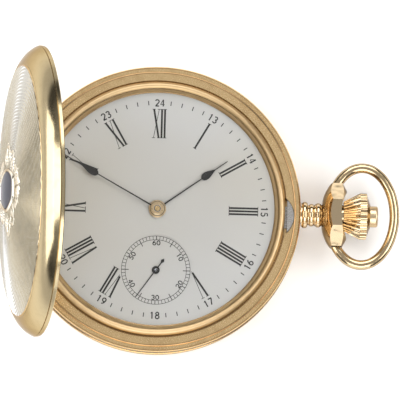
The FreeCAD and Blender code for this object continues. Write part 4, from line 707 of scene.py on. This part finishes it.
def stage_and_lights():
    """Pale floor with a painted pool of light, pale round the watch and darker grey further out, and soft studio
    light.
    """
    mesh = bpy.data.meshes.new("floor")
    mesh.from_pydata(
        [(x * FLOOR_HALF, y * FLOOR_HALF, 0) for x, y in ((-1, -1), (1, -1), (1, 1), (-1, 1))], [], [(0, 1, 2, 3)])
    floor = bpy.data.objects.new("floor", mesh)
    bpy.context.scene.collection.objects.link(floor)
    made = Recipe("floor_paper_painted_pool", (0.93, 0.93, 0.93), roughness=0.8)
    # Painted light: the floor is pale round the watch and falls to darker grey further out.
    made.colours(made.distance(), *[(reach, (grey, grey, grey)) for reach, grey in FLOOR_PAINTED_LIGHT_POOL])
    made.bump(made.noise(900.0), 0.05, PAPER_GRAIN)
    mesh.materials.append(made.material)
    floor.location.z = -FLOOR_DROP
    world = bpy.data.worlds.new("studio")
    bpy.context.scene.world = world
    world.use_nodes = True
    tree = world.node_tree
    sky = tree.nodes.new("ShaderNodeTexCoord").outputs["Generated"]
    split = tree.nodes.new("ShaderNodeSeparateXYZ")
    ramp = tree.nodes.new("ShaderNodeValToRGB")
    tree.links.new(sky, split.inputs["Vector"])
    tree.links.new(split.outputs["Z"], ramp.inputs["Fac"])
    tree.links.new(ramp.outputs["Color"], tree.nodes["Background"].inputs["Color"])
    while len(ramp.color_ramp.elements) < len(SKY):
        ramp.color_ramp.elements.new(0.5)
    for element, (height, grey) in zip(ramp.color_ramp.elements, SKY):
        element.position = height
        element.color = (grey, grey, grey, 1)
    tree.nodes["Background"].inputs["Strength"].default_value = 1.0
    bpy.context.scene.view_settings.view_transform = "Standard"
    for name, place, aim, width, power in LIGHTS:
        lamp = bpy.data.lights.new(name, "AREA")
        lamp.shape = "RECTANGLE"
        lamp.size, lamp.size_y = width
        lamp.energy = power
        thing = bpy.data.objects.new(name, lamp)
        thing.location = place
        thing.rotation_euler = (Vector(aim) - Vector(place)).to_track_quat("-Z", "Y").to_euler()
        bpy.context.scene.collection.objects.link(thing)


FLOOR_HALF, FLOOR_DROP = 3.0, 0.00002
# Grey of the floor at each distance in metres from the watch, a painted pool of light, and grey of the sky at each
# share of its height.
FLOOR_PAINTED_LIGHT_POOL = [(0.0, 0.97), (0.064, 0.97), (0.18, 0.38)]
SKY = [(0.0, 0.04), (0.18, 0.06), (0.5, 0.28), (0.8, 0.46), (1.0, 0.50)]
# Name, place, aim, size and power of each light.
LIGHTS = [
    ("left_light", (-0.42, 0.0, 0.14), (0.0, 0.0, 0.07), (0.55, 0.24), 1.3),
    ("near_low_light", (0.0, -0.55, 0.13), (0.0, 0.0, 0.0), (0.6, 0.2), 0.6),
    ("right_light", (1.0, 0.05, 1.0), (0, 0, 0), (1.2, 0.9), 10.4),
    ("rear_light", (0.0, 1.05, 0.95), (0, 0, 0), (1.2, 0.9), 9.8),
    ("near_light", (0.0, -1.0, 0.95), (0, 0, 0), (1.2, 0.9), 9.8),
    ("upper_left_light", (-1.05, 0.0, 1.05), (0, 0, 0), (1.2, 0.9), 10.4),
]
VIEW_TILT, VIEW_YAW, VIEW_ROLL = math.radians(7.43), math.radians(-1.352), math.radians(1.398)
VIEW_TARGET = Vector((7.39, 1.748, 9.2)) * MM
VIEW_DISTANCE = 1.6536
VIEW_WIDTH = 69.63 * MM
SENSOR_WIDTH = 36.0


def add_camera():
    """Long lens from above, leaning a little to the 6 o'clock side."""
    lens = bpy.data.cameras.new("camera")
    camera = bpy.data.objects.new("camera", lens)
    bpy.context.scene.collection.objects.link(camera)
    back = Vector((
        math.sin(VIEW_YAW) * math.cos(VIEW_TILT), -math.sin(VIEW_TILT), math.cos(VIEW_TILT) * math.cos(VIEW_YAW)))
    back.normalize()
    up = Vector((-math.sin(VIEW_ROLL), math.cos(VIEW_ROLL), 0))
    right = up.cross(back).normalized()
    up = back.cross(right)
    camera.matrix_world = Matrix.Translation(VIEW_TARGET + back * VIEW_DISTANCE) @ Matrix(
        (right, up, back)).transposed().to_4x4()
    lens.sensor_width = SENSOR_WIDTH
    lens.lens = SENSOR_WIDTH * VIEW_DISTANCE / VIEW_WIDTH
    lens.clip_start = 0.1
    bpy.context.scene.camera = camera


dress_frame()
print_dial()
hand_centres()
engraved_field()
shield()
stage_and_lights()
add_camera()
